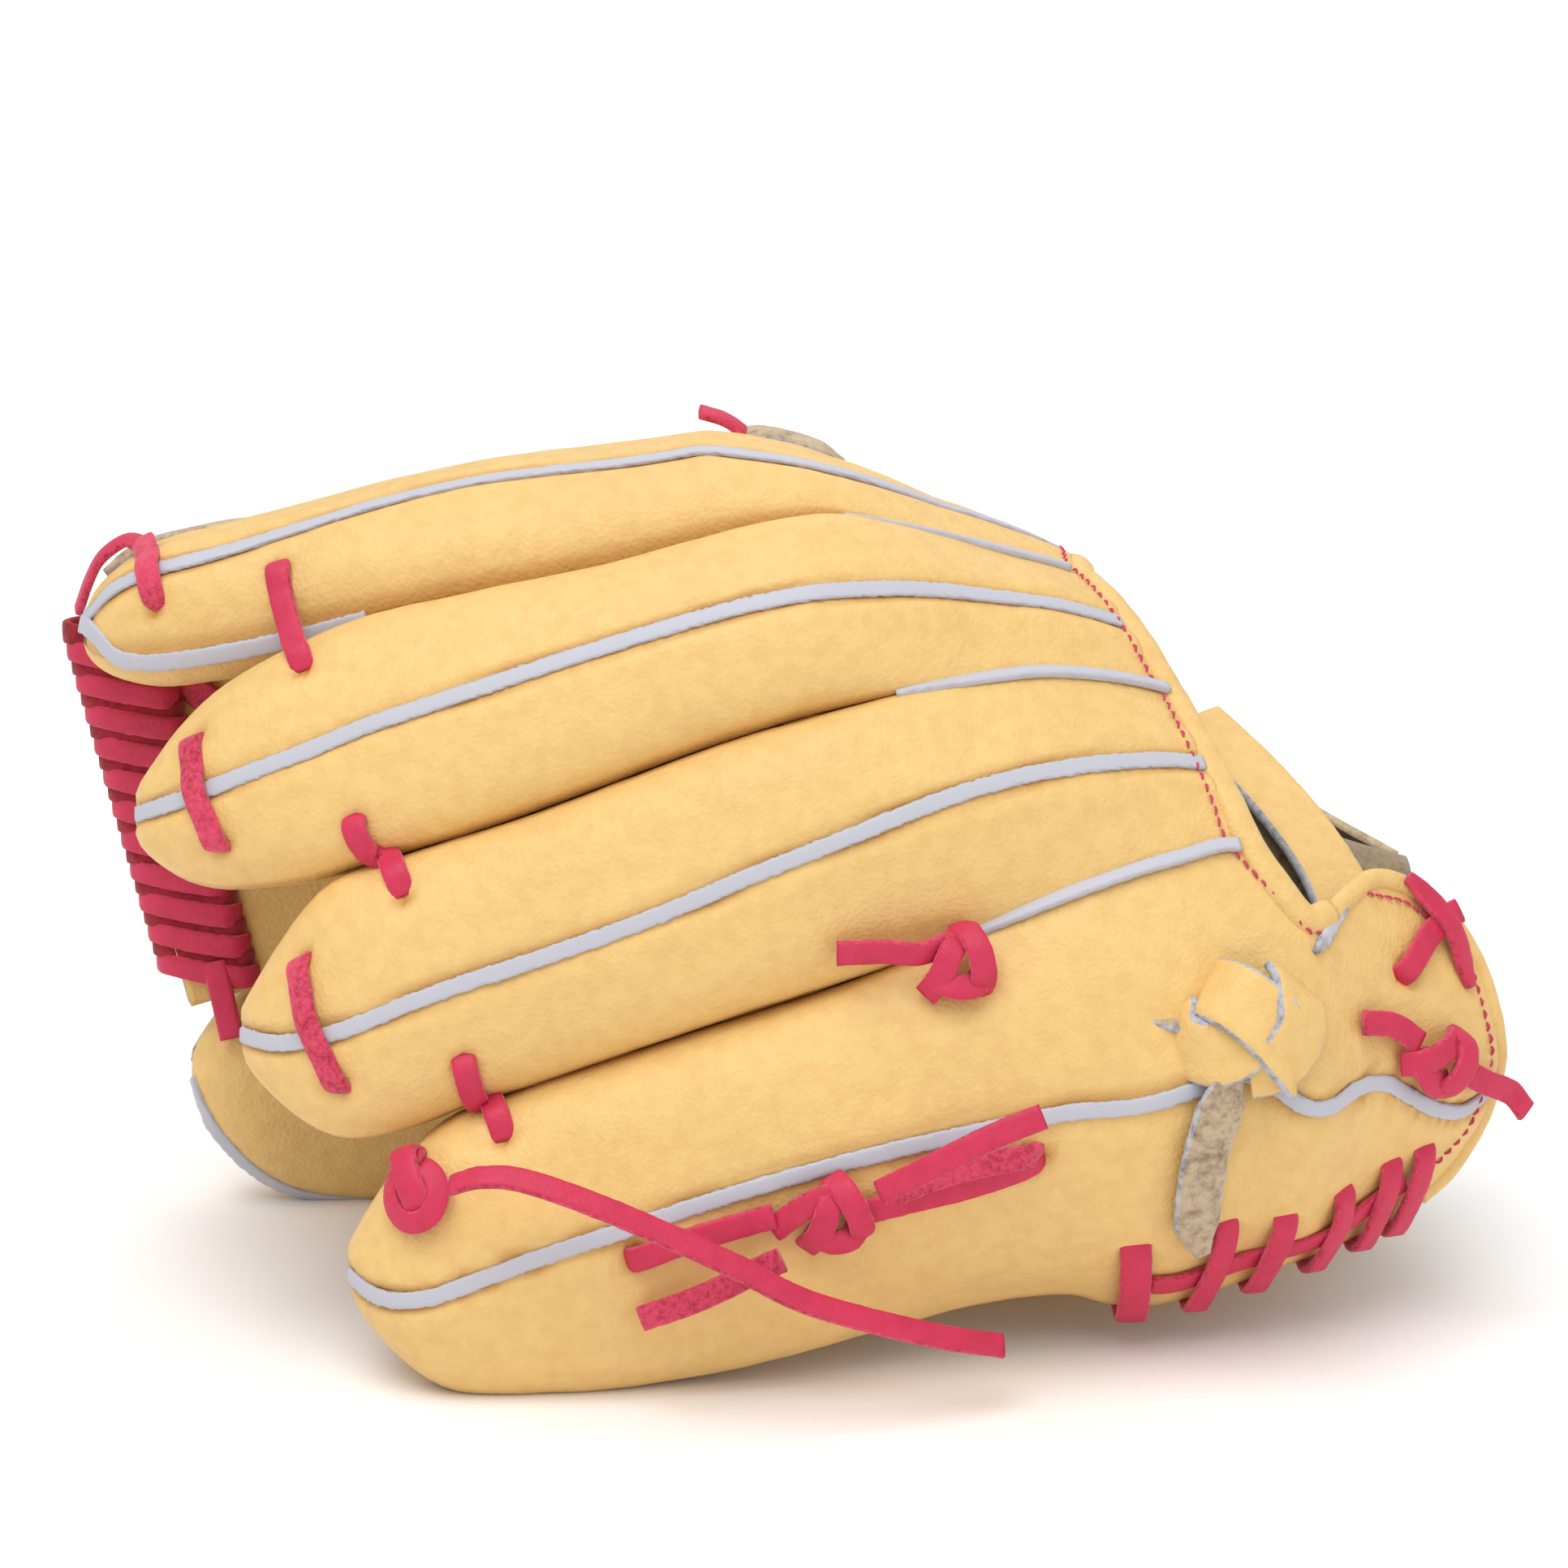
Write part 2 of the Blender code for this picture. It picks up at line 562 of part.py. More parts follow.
def side_laces(root, pinky):
    lace("pinky_side_lace_tip", [(PINKY, -30, -0.08, 2.6), (PINKY, -20, -0.05, 2.6),
                                 (PINKY, -5, -0.02, 2.6)], pinky, pieces=5)
    knot("pinky_side_knot", PINKY.above(8.5, -0.03, 5.5), (19, 8, 12), pinky, tilt=0.35)
    lace("pinky_side_lace_heel", [(PINKY, 22.6, -0.07, 2.4), (PINKY, 34, -0.03, 2.4),
                                  (PINKY, 47, 0.05, 2.4)], root, pieces=5)
    tube("pinky_side_tail_high", SIDE_TAIL_HIGH, LACE_WIDTH / 2, pinky, count=8)
    tube("pinky_side_tail_low", SIDE_TAIL_LOW, LACE_WIDTH / 2, pinky, count=8)
    knot("crotch_knot", PINKY.above(33.5, 0.9, 7.5), (12, 7, 11), root)
    lace("crotch_tail", [(RING, 25.5, -0.66, 6.5), (RING, 17, -0.68, 5.5), (RING, 8, -0.68, 4.5)],
         root, pieces=5)


def heel(root):
    lace("heel_edge_lace", [(PINKY, 77, -0.80), (PINKY, 92, -0.82), (PINKY, 108, -0.84),
                            (PINKY, 124, -0.88)], root, width=6.0, thickness=3.0, pieces=12)
    knot("heel_knot", PINKY.above(127, 0.15, 5.9), (13, 8, 12), root, tilt=-0.5)
    lace("heel_tail_inner", [(PINKY, 119, 0.24, 3.0), (PINKY, 114, 0.3, 2.4), (PINKY, 108, 0.36, 2.0)],
         root, pieces=5)
    lace("heel_tail_outer", [(PINKY, 134.5, 0.08, 3.4), (PINKY, 139.5, -0.1, 4.4),
                             (PINKY, 144, -0.35, 6.4)], root, pieces=5)
    lace("heel_cross_lace", [(PINKY, 124, 0.62, 1.6), (PINKY, 128, 0.8, 1.6),
                             (PINKY, 132, 0.93, 1.8)], root, pieces=5)
    knot("strap_knot", (90, -54.2, 78), (33, 15, 25), root, "leather", tilt=0.25)
    lace("strap_tail", [(PINKY, 85, 0.14, 2.4), (PINKY, 80.5, -0.1, 2.2), (PINKY, 79.5, -0.4, 2.0),
                        (PINKY, 79.5, -0.62, 2.0)], root, width=10.0, thickness=2.2,
         finish="leather", pieces=7)
    path = smooth([(89, 43, 107), (97, 33, 102), (106, 20, 95), (112, 8, 88), (115, -2, 81)], 12)
    normals = [Vector((0.35, -0.5, 0.8)).normalized()] * len(path)
    ribbon("wrist_strap", path, normals, 15.0, 3.0, root, "leather")


def bindings(root):
    front = [INDEX.above(58.5, 0.9, -1.5), INDEX.above(61.5, -0.9, -1.5),
             MIDDLE.above(70, 0, -1.5), RING.above(80.5, 0.9, -1.5), RING.above(93, -0.9, -1.5)]
    for spot in front:
        spot.x += 3.4
    rolled_edge("opening_binding", front, root, count=16)


def main():
    clear_scene()
    root = body("glove")
    pinky = body("pinky_side", PINKY_FOLD)
    thumb = body("thumb_side", THUMB_FOLD)
    finger_wall(root, pinky)
    seams(root, pinky)
    palm(root)
    thumb_wall(root, thumb)
    web(root, thumb)
    finger_laces(root, pinky)
    side_laces(root, pinky)
    heel(root)
    bindings(root)


main()
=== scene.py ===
"""A laced baseball glove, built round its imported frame. All tables are in millimetres."""

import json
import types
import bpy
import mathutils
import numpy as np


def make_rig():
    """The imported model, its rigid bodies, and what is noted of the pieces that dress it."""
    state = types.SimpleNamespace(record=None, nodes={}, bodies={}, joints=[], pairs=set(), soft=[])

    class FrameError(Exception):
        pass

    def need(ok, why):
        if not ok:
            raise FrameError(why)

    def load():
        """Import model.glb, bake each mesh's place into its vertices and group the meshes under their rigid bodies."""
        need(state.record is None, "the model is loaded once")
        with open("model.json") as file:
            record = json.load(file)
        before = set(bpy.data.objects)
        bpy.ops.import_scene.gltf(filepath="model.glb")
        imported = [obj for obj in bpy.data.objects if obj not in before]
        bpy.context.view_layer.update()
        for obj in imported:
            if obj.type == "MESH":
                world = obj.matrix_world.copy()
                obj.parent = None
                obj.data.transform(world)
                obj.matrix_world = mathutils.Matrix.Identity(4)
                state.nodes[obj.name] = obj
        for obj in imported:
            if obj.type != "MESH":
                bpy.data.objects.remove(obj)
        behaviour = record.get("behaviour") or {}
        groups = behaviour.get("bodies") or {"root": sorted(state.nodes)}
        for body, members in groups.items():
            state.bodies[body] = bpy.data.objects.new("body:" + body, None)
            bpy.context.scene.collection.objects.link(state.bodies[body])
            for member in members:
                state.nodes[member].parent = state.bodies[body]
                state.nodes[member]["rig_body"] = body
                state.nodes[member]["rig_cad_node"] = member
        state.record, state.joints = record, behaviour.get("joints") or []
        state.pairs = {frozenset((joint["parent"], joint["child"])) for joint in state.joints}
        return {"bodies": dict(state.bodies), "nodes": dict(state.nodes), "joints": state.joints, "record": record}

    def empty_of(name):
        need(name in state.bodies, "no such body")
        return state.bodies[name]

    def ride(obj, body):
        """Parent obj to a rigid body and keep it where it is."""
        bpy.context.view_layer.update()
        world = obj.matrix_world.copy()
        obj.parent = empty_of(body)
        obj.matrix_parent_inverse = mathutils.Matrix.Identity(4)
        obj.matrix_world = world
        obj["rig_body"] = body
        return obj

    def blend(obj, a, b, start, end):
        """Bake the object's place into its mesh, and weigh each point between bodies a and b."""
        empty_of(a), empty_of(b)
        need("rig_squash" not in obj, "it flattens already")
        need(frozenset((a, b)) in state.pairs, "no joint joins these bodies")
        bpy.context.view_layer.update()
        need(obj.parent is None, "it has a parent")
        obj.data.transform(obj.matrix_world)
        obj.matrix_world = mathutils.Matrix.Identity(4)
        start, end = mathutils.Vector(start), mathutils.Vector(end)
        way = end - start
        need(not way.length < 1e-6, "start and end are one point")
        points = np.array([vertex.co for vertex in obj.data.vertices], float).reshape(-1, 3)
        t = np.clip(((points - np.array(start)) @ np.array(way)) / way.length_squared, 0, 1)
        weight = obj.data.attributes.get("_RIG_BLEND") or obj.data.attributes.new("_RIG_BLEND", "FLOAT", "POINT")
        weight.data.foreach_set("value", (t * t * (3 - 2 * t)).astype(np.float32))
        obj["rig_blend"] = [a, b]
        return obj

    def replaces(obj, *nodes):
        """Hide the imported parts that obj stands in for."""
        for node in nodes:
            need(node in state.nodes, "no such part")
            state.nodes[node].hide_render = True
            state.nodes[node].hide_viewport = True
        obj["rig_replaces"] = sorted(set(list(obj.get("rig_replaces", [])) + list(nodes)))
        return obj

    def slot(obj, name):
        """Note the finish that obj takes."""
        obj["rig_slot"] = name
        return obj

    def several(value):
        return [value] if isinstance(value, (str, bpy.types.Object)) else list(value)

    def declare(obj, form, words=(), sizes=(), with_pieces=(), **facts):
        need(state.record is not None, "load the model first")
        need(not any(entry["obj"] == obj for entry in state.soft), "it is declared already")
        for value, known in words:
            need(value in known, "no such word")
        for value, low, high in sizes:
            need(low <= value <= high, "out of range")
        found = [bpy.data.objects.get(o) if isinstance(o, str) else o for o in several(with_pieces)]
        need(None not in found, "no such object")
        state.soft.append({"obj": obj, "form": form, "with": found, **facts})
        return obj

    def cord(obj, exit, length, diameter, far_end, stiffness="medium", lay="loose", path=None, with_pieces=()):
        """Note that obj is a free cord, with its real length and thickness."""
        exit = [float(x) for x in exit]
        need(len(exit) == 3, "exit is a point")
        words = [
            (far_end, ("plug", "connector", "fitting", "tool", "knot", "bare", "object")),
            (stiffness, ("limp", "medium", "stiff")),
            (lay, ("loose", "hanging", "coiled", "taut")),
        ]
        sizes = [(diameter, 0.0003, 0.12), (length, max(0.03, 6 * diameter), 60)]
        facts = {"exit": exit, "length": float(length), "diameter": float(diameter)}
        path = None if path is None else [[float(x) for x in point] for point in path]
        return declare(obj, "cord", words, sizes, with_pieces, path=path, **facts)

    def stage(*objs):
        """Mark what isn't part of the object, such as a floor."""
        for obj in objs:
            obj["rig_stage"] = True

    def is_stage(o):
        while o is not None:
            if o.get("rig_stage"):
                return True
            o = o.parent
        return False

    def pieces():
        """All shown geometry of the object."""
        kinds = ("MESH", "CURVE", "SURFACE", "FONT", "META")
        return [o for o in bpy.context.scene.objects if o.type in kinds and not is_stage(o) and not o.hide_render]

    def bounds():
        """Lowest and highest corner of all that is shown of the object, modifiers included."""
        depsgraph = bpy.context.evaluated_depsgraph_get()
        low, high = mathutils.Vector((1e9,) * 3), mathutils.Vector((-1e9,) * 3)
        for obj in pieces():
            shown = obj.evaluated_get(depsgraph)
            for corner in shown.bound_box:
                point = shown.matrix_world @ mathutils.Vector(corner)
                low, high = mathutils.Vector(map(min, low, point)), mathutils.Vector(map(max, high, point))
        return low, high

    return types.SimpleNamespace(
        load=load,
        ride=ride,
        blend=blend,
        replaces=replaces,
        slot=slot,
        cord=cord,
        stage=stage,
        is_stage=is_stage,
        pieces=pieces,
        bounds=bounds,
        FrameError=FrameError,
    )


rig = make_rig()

bl_info = {
    "name": "Baseball Glove",
    "version": (1, 0, 0),
    "blender": (4, 5, 0),
    "location": "View3D > Sidebar > Glove",
    "description": "Builds a laced fielding glove in leather, lace by lace",
    "category": "Add Mesh",
}

import json
import math

import bpy
from mathutils import Vector, noise

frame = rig.load()
CAD_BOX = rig.bounds()

MM = 0.001
SHIFT = Vector((-3.34, -3.55, 0.0))
FULLNESS = 2.4  # how square a finger is across
NOSE = 22.0  # length over which a finger rounds off at its tip
FLOOR_GAP = 0.15

# ---------------------------------------------------------------- lines of the glove
HEEL_EDGE = [(30, -38, 10.5), (48, -35, 12.5), (58, -33, 12.5), (66, -31, 9.5), (75, -30, 9),
             (90, -27, 12), (110, -20, 17), (128, -12, 22), (150, -6, 28)]
PINKY_LOW = [(-92, -47, 8), (-75, -49, 2), (-62, -49, -2), (-45, -48, -2), (-30, -47, -1),
             (0, -43, 4)] + HEEL_EDGE
VALLEY_RING_PINKY = [(-62, -37, 54.5), (-17, -38, 71), (15, -38, 82), (40, -38, 92),
                     (61, -36, 100), (77, -32, 104), (91, -27, 105)]
NOTCH_AND_RIM = [(100, -30, 97), (106, -30, 92), (112, -22, 94), (119, -14, 95),
                 (128, -9, 91), (140, -5, 86), (150, -4, 80)]
VALLEY_MIDDLE_RING = [(-80, -20, 100), (-52, -23, 110), (-11, -24, 126), (20, -22, 134.5),
                      (37, -18, 136.6), (54, -12, 136.6), (76, 0, 130), (96, 12, 118)]
VALLEY_INDEX_MIDDLE = [(-81, 8, 143), (-37, 5, 153), (5, 6, 163.5), (22, 10, 161),
                       (47, 20, 152.5), (60, 27, 147), (76, 36, 138)]
INDEX_REAR = [(-146, 46, 134), (-120, 50, 139), (-95, 53, 145), (-60, 53, 153.5), (-27, 51, 158),
              (5, 51, 161), (30, 54, 154), (60, 56, 137), (73, 56, 118), (88, 54, 103),
              (102, 52, 97), (114, 50, 89), (132, 46, 80)]
THUMB_TOP = [(-128, 52, 48), (-100, 56, 53), (-60, 58, 57), (-20, 58, 61), (20, 58, 64),
             (60, 57, 62), (100, 56, 56), (132, 54, 52)]
THUMB_LOW = [(-128, 50, 12), (-112, 55, 4), (-95, 58, -1), (-60, 60, -2), (0, 60, -2),
             (60, 59, -2), (100, 57, -1), (132, 54, 6)]
THUMB_FOLD = (Vector((-145, 51, 129)), Vector((115, 51, 72)))

# The pocket side from the pinky edge over the ridge to the thumb edge, (y, z) at each station.
POCKET_STATIONS = (22.0, 60.0, 100.0, 132.0)
POCKET_LINES = [[(-36, 10.5), (-31, 13), (-22, 15.5), (-10, 23)],
                [(-20, 44), (-10, 47), (4, 49), (20, 50)],
                [(-12, 88), (-4, 86), (8, 76), (21, 66)],
                [(8, 120), (12, 108), (20, 89), (25, 76)],
                [(27, 126), (29, 111), (33, 92), (34, 80)],
                [(44, 101), (43, 93), (44, 84), (42, 77)],
                [(45, 84), (44, 76), (44, 67), (44, 60)],
                [(45, 55), (44, 48), (43, 44), (43, 40)],
                [(46, 25), (45, 22), (43, 20), (42, 22)],
                [(58, 0), (58, 0), (56, 0), (53, 5)]]


def between(table, x):
    """Straight-line reading of (x, value) pairs."""
    for (a, first), (b, final) in zip(table, table[1:]):
        if x <= b:
            return first + (final - first) * max(0.0, (x - a) / (b - a))
    return table[-1][1]


def ease(x, start, end):
    t = min(max((x - start) / (end - start), 0.0), 1.0)
    return t * t * (3 - 2 * t)


def through(points):
    """A smooth curve through points, read by its x."""
    points = [Vector(p) for p in points]
    last = len(points) - 1
    slopes = []
    for i in range(last + 1):
        before, after = points[max(i - 1, 0)], points[min(i + 1, last)]
        slopes.append((after - before) / (after.x - before.x))

    def at(x):
        i = 0
        while i < last - 1 and x > points[i + 1].x:
            i += 1
        a, b = points[i], points[i + 1]
        step = b.x - a.x
        t = (x - a.x) / step
        if t < 0:
            return a + slopes[0] * (x - a.x)
        if t > 1:
            return b + slopes[last] * (x - b.x)
        near, far = slopes[i] * step, slopes[i + 1] * step
        return (a * (2 * t**3 - 3 * t**2 + 1) + near * (t**3 - 2 * t**2 + t)
                + b * (3 * t**2 - 2 * t**3) + far * (t**3 - t**2))

    return at


def catmull(points, u):
    """Point at u (in point numbers) on a smooth curve through points."""
    last = len(points) - 1
    i = min(max(int(u), 0), last - 1)
    t = u - i
    b, c = points[i], points[i + 1]
    a = points[i - 1] if i else b * 2 - c
    d = points[i + 2] if i + 2 <= last else c * 2 - b
    return 0.5 * (2 * b + (c - a) * t + (2 * a - 5 * b + 4 * c - d) * t**2
                  + (3 * b - a - 3 * c + d) * t**3)


def run(points, gap=1.0, extra=None):
    """Points every gap mm along a smooth curve through points, with extra read beside them."""
    points = [Vector(p) for p in points]
    fine = [catmull(points, k / 12) for k in range(12 * (len(points) - 1) + 1)]
    lengths = [0.0]
    for a, b in zip(fine, fine[1:]):
        lengths.append(lengths[-1] + (b - a).length)
    count = max(2, round(lengths[-1] / gap) + 1)
    spots, others = [], []
    k = 0
    for n in range(count):
        want = lengths[-1] * n / (count - 1)
        while k < len(fine) - 2 and lengths[k + 1] < want:
            k += 1
        t = (want - lengths[k]) / max(lengths[k + 1] - lengths[k], 1e-9)
        spots.append(fine[k].lerp(fine[k + 1], t))
        if extra:
            others.append(catmull(extra, (k + t) / 12).normalized())
    return (spots, others) if extra else spots


class Wall:
    """A stretch of the glove between two lines: it swells outwards and inwards between them."""

    def __init__(self, low, high, swell, inward=((0, 13), (1, 13)), tip=None, end=None):
        self.low, self.high = through(low), through(high)
        self.swell, self.inward = swell, inward
        self.tip, self.end = tip, end

    def taper(self, x):
        inset = 0.0
        if self.tip is not None:
            inset = max(inset, (self.tip + NOSE - x) / NOSE)
        if self.end is not None:
            inset = max(inset, (x - self.end + NOSE) / NOSE)
        return math.sqrt(max(0.0, 1 - min(inset, 1) ** 2))

    def point(self, x, across, rise):
        low, high = self.low(x), self.high(x)
        half = (high - low) / 2
        along = half.normalized()
        depth = between(self.swell if rise > 0 else self.inward, x)
        grow = self.taper(x)
        spot = (low + high) / 2 + half * across * grow
        spot += Vector((0, -along.z, along.y)) * depth * rise * grow
        spot.z = max(spot.z, FLOOR_GAP)
        return spot

    def skin(self, x, across):
        """The outer surface: full and round on the stalls, flatter over the hand."""
        across = max(-1.0, min(1.0, across))
        full = (1 - abs(across) ** FULLNESS) ** (1 / FULLNESS)
        full += ease(x, 0, 50) * (1 - across * across - full)
        return self.point(x, across, max(full, 1e-6))

    def inner(self, x, across):
        return self.point(x, across, -max((1 - abs(across) ** FULLNESS) ** (1 / FULLNESS), 1e-6))

    def out(self, x, across):
        inner = max(-0.95, min(0.95, across))
        ahead, behind = self.skin(x + 1, across), self.skin(x - 1, across)
        up, down = self.skin(x, inner + 0.05), self.skin(x, inner - 0.05)
        return (ahead - behind).cross(up - down).normalized()

    def above(self, x, across, lift=0.0):
        return self.skin(x, across) + self.out(x, across) * lift


INDEX = Wall([(-146, 20, 128), (-120, 16, 132), (-100, 12, 137)] + VALLEY_INDEX_MIDDLE,
             INDEX_REAR, [(-100, 18), (-60, 17.5), (-16, 16), (9, 8), (31, 4.5), (60, 4)],
             inward=[(-60, 11), (0, 14), (21, 17)], tip=-144.5)
MIDDLE = Wall([(-135, -6, 88), (-117, -9, 90), (-96, -15, 94)] + VALLEY_MIDDLE_RING,
              [(-135, 6, 116), (-120, 6, 125), (-100, 7, 136)] + VALLEY_INDEX_MIDDLE,
              [(-40, 15), (5, 12), (46, 5), (75, 3)], inward=[(-40, 12), (21, 15)], tip=-131.0)
RING = Wall([(-112, -27, 50), (-98, -30, 47), (-85, -34, 46.5), (-73, -36.5, 50)]
            + VALLEY_RING_PINKY,
            [(-112, -14, 78), (-101, -16, 87), (-91, -18, 95)] + VALLEY_MIDDLE_RING,
            [(-40, 15), (5, 14), (29, 11), (53, 7), (83, 4)], tip=-109.0)
PINKY = Wall(PINKY_LOW,
             [(-92, -35, 36), (-82, -36, 42), (-72, -37, 49)] + VALLEY_RING_PINKY + NOTCH_AND_RIM,
             [(-60, 17), (20, 18), (60, 20), (100, 20), (128, 16)], tip=-87.0, end=146.0)
THUMB = Wall(THUMB_TOP, THUMB_LOW, [(-127, 13), (132, 13)], tip=-127.0)
CROTCH = Wall(INDEX_REAR, THUMB_TOP, [(-150, 7), (20, 9), (132, 7)], inward=((0, 6), (1, 6)))

WALLS = {"index": INDEX, "middle": MIDDLE, "ring": RING, "pinky": PINKY, "thumb": THUMB}

# Where the back leather ends at the wrist: (x at the low edge, x at the high edge).
ENDS = {"index": (60.5, 58.5), "middle": (77, 61.5), "ring": (91, 77.5)}
WELTS = {
    "index": [(-146, -0.46), (-123, -0.42), (-93, -0.26), (-60, -0.17), (-19, -0.33), (6, -0.42),
              (30, -0.25), (62, 0.1)],
    "middle": [(-132, -0.1), (-107, -0.05), (-75, -0.04), (-42, 0.02), (-10, 0.0), (21, -0.06),
               (54, -0.08), (80, -0.08)],
    "ring": [(-110, -0.31), (-100, -0.25), (-74, -0.08), (-26, -0.05), (5, 0.04), (37, 0.1),
             (70, 0.02), (92, 0.0)],
    "pinky": [(-88, -0.5), (-80, -0.4), (-58, -0.1), (-26, 0.08), (5, 0.15), (37, 0.13),
              (69, 0.11), (85, 0.12), (101, 0.13), (119, 0.0), (137, -0.38), (146, -0.5)],
    "thumb": [(-128, 0.3), (-100, 0.2), (-40, 0), (132, 0)],
}
SEAMS = {key: through([(x, across, 0) for x, across in line]) for key, line in WELTS.items()}
POCKET_CURVES = [through([(x, y, z) for x, (y, z) in zip(POCKET_STATIONS, line)])
                 for line in POCKET_LINES]

# The bodies, and the two ends of the stretch of leather that gives way, for each fold.
PINKY_BLEND = ("glove", "pinky_side", Vector((48, -45, 60)), Vector((16, -45, 60)))
FOLD_MIDDLE = (THUMB_FOLD[0] + THUMB_FOLD[1]) / 2
FOLD_ACROSS = Vector((0.2141, 0, 0.9768)) * 11
THUMB_BLEND = ("glove", "thumb_side", FOLD_MIDDLE + FOLD_ACROSS, FOLD_MIDDLE - FOLD_ACROSS)


def seam(key, x):
    """How far across its finger a seam runs at x."""
    return SEAMS[key](x).y


def pocket(x, v):
    """The pocket side of the palm leather; v counts the lines from the pinky edge."""
    return catmull([line(x) for line in POCKET_CURVES], v)


# ---------------------------------------------------------------- meshes
def place(point):
    return (point + SHIFT) * MM


def deselect():
    for other in bpy.context.selected_objects:
        other.select_set(False)


def build(name, verts, faces, materials, uvs=None, slots=None, painted_shade=None):
    """A mesh object from points in millimetres, with UVs in metres and a painted_shade attribute that darkens the
    colour where shade falls.
    """
    mesh = bpy.data.meshes.new(name)
    mesh.from_pydata([place(v) for v in verts], [], faces)
    for finish in materials:
        mesh.materials.append(finish)
    if uvs:
        layer = mesh.uv_layers.new(name="UVMap")
        for loop in mesh.loops:
            layer.data[loop.index].uv = uvs[loop.vertex_index]
    if slots:
        mesh.polygons.foreach_set("material_index", slots)
    if painted_shade:
        layer = mesh.attributes.new("painted_shade", "FLOAT", "POINT")
        layer.data.foreach_set("value", painted_shade)
    mesh.polygons.foreach_set("use_smooth", [True] * len(mesh.polygons))
    mesh.update()
    piece = bpy.data.objects.new(name, mesh)
    bpy.context.collection.objects.link(piece)
    return piece


def apply(piece, kind, **settings):
    """Add a modifier and apply it."""
    deselect()
    bpy.context.view_layer.objects.active = piece
    piece.select_set(True)
    modifier = piece.modifiers.new(kind.title(), kind)
    for key, value in settings.items():
        setattr(modifier, key, value)
    bpy.ops.object.modifier_apply(modifier=modifier.name)
    piece.select_set(False)


def hang(piece, body=None, blend=None, slot="leather", nodes=()):
    """Put a piece on its body, or across a fold, and say what it is made of and stands for."""
    if blend:
        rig.blend(piece, *blend[:2], start=tuple(place(blend[2])), end=tuple(place(blend[3])))
    else:
        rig.ride(piece, body)
    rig.slot(piece, slot)
    if nodes:
        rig.replaces(piece, *nodes)
    return piece


def normals_of(rows, flip):
    """The outward direction at each point of a grid."""
    found = []
    for i, row in enumerate(rows):
        line = []
        for j in range(len(row)):
            a = rows[min(i + 1, len(rows) - 1)][j] - rows[max(i - 1, 0)][j]
            b = row[min(j + 1, len(row) - 1)] - row[max(j - 1, 0)]
            n = a.cross(b)
            line.append((n if n.length < 1e-9 else n.normalized()) * (-1 if flip else 1))
        found.append(line)
    return found


def hide(name, rows, finishes, wall=2.0, flip=False, relief=None, painted_shade=None, body=None,
         blend=None, nodes=()):
    """A sheet of leather over a grid of points, its grain side out and a wall behind it."""
    out = normals_of(rows, flip)
    verts, uvs, painted_shade_values = [], [], []
    wide = len(rows[0])
    for i, row in enumerate(rows):
        run_y = 0.0
        for j, spot in enumerate(row):
            if j:
                run_y += (spot - row[j - 1]).length
            lift = relief(i, j, spot) if relief else 0.0
            lift += 0.35 * noise.noise(spot * 0.045) + 0.12 * noise.noise(spot * 0.16)
            verts.append(spot + out[i][j] * lift)
            uvs.append((spot.x * MM, run_y * MM))
            # painted shade for each point, from the painted_shade mask
            painted_shade_values.append(painted_shade(i, j, spot) if painted_shade else 0.0)
    faces = []
    for i in range(len(rows) - 1):
        for j in range(wide - 1):
            a, b = i * wide + j, (i + 1) * wide + j
            loop = (a, b, b + 1, a + 1)
            faces.append(loop[::-1] if flip else loop)
    piece = build(name, verts, faces, finishes, uvs, None, painted_shade_values)
    apply(piece, "SOLIDIFY", thickness=wall * MM, offset=-1, use_even_offset=False,
          material_offset=1, material_offset_rim=2)
    return hang(piece, body, blend, "leather", nodes)


PROFILE = [(-.5, .3), (-.5, .7), (-.46, .9), (-.36, 1), (-.18, 1.03), (0, 1.04), (.18, 1.03),
           (.36, 1), (.46, .9), (.5, .7), (.5, .3), (.46, .1), (.36, 0), (0, -.02), (-.36, 0),
           (-.46, .1)]


def along(spots, ups):
    """The frame at each spot of a route: number, spot, side, up and distance from the start."""
    total = 0.0
    for i, (spot, up) in enumerate(zip(spots, ups)):
        ahead = spots[min(i + 1, len(spots) - 1)] - spots[max(i - 1, 0)]
        side = ahead.cross(up).normalized()
        if i:
            total += (spot - spots[i - 1]).length
        yield i, spot, side, side.cross(ahead).normalized(), total


def skinned(rings, count, start=0, turned=False):
    """The faces over rings of count points, with a cap at each end."""
    faces = []
    for i in range(rings - 1):
        near, far = start + i * count, start + (i + 1) * count
        for k in range(count):
            j = (k + 1) % count
            faces.append((near + k, far + k, far + j, near + j) if turned
                         else (near + k, near + j, far + j, far + k))
    first = tuple(range(start, start + count))
    last = tuple(range(start + (rings - 1) * count, start + rings * count))
    return faces + ([first, last[::-1]] if turned else [first[::-1], last])


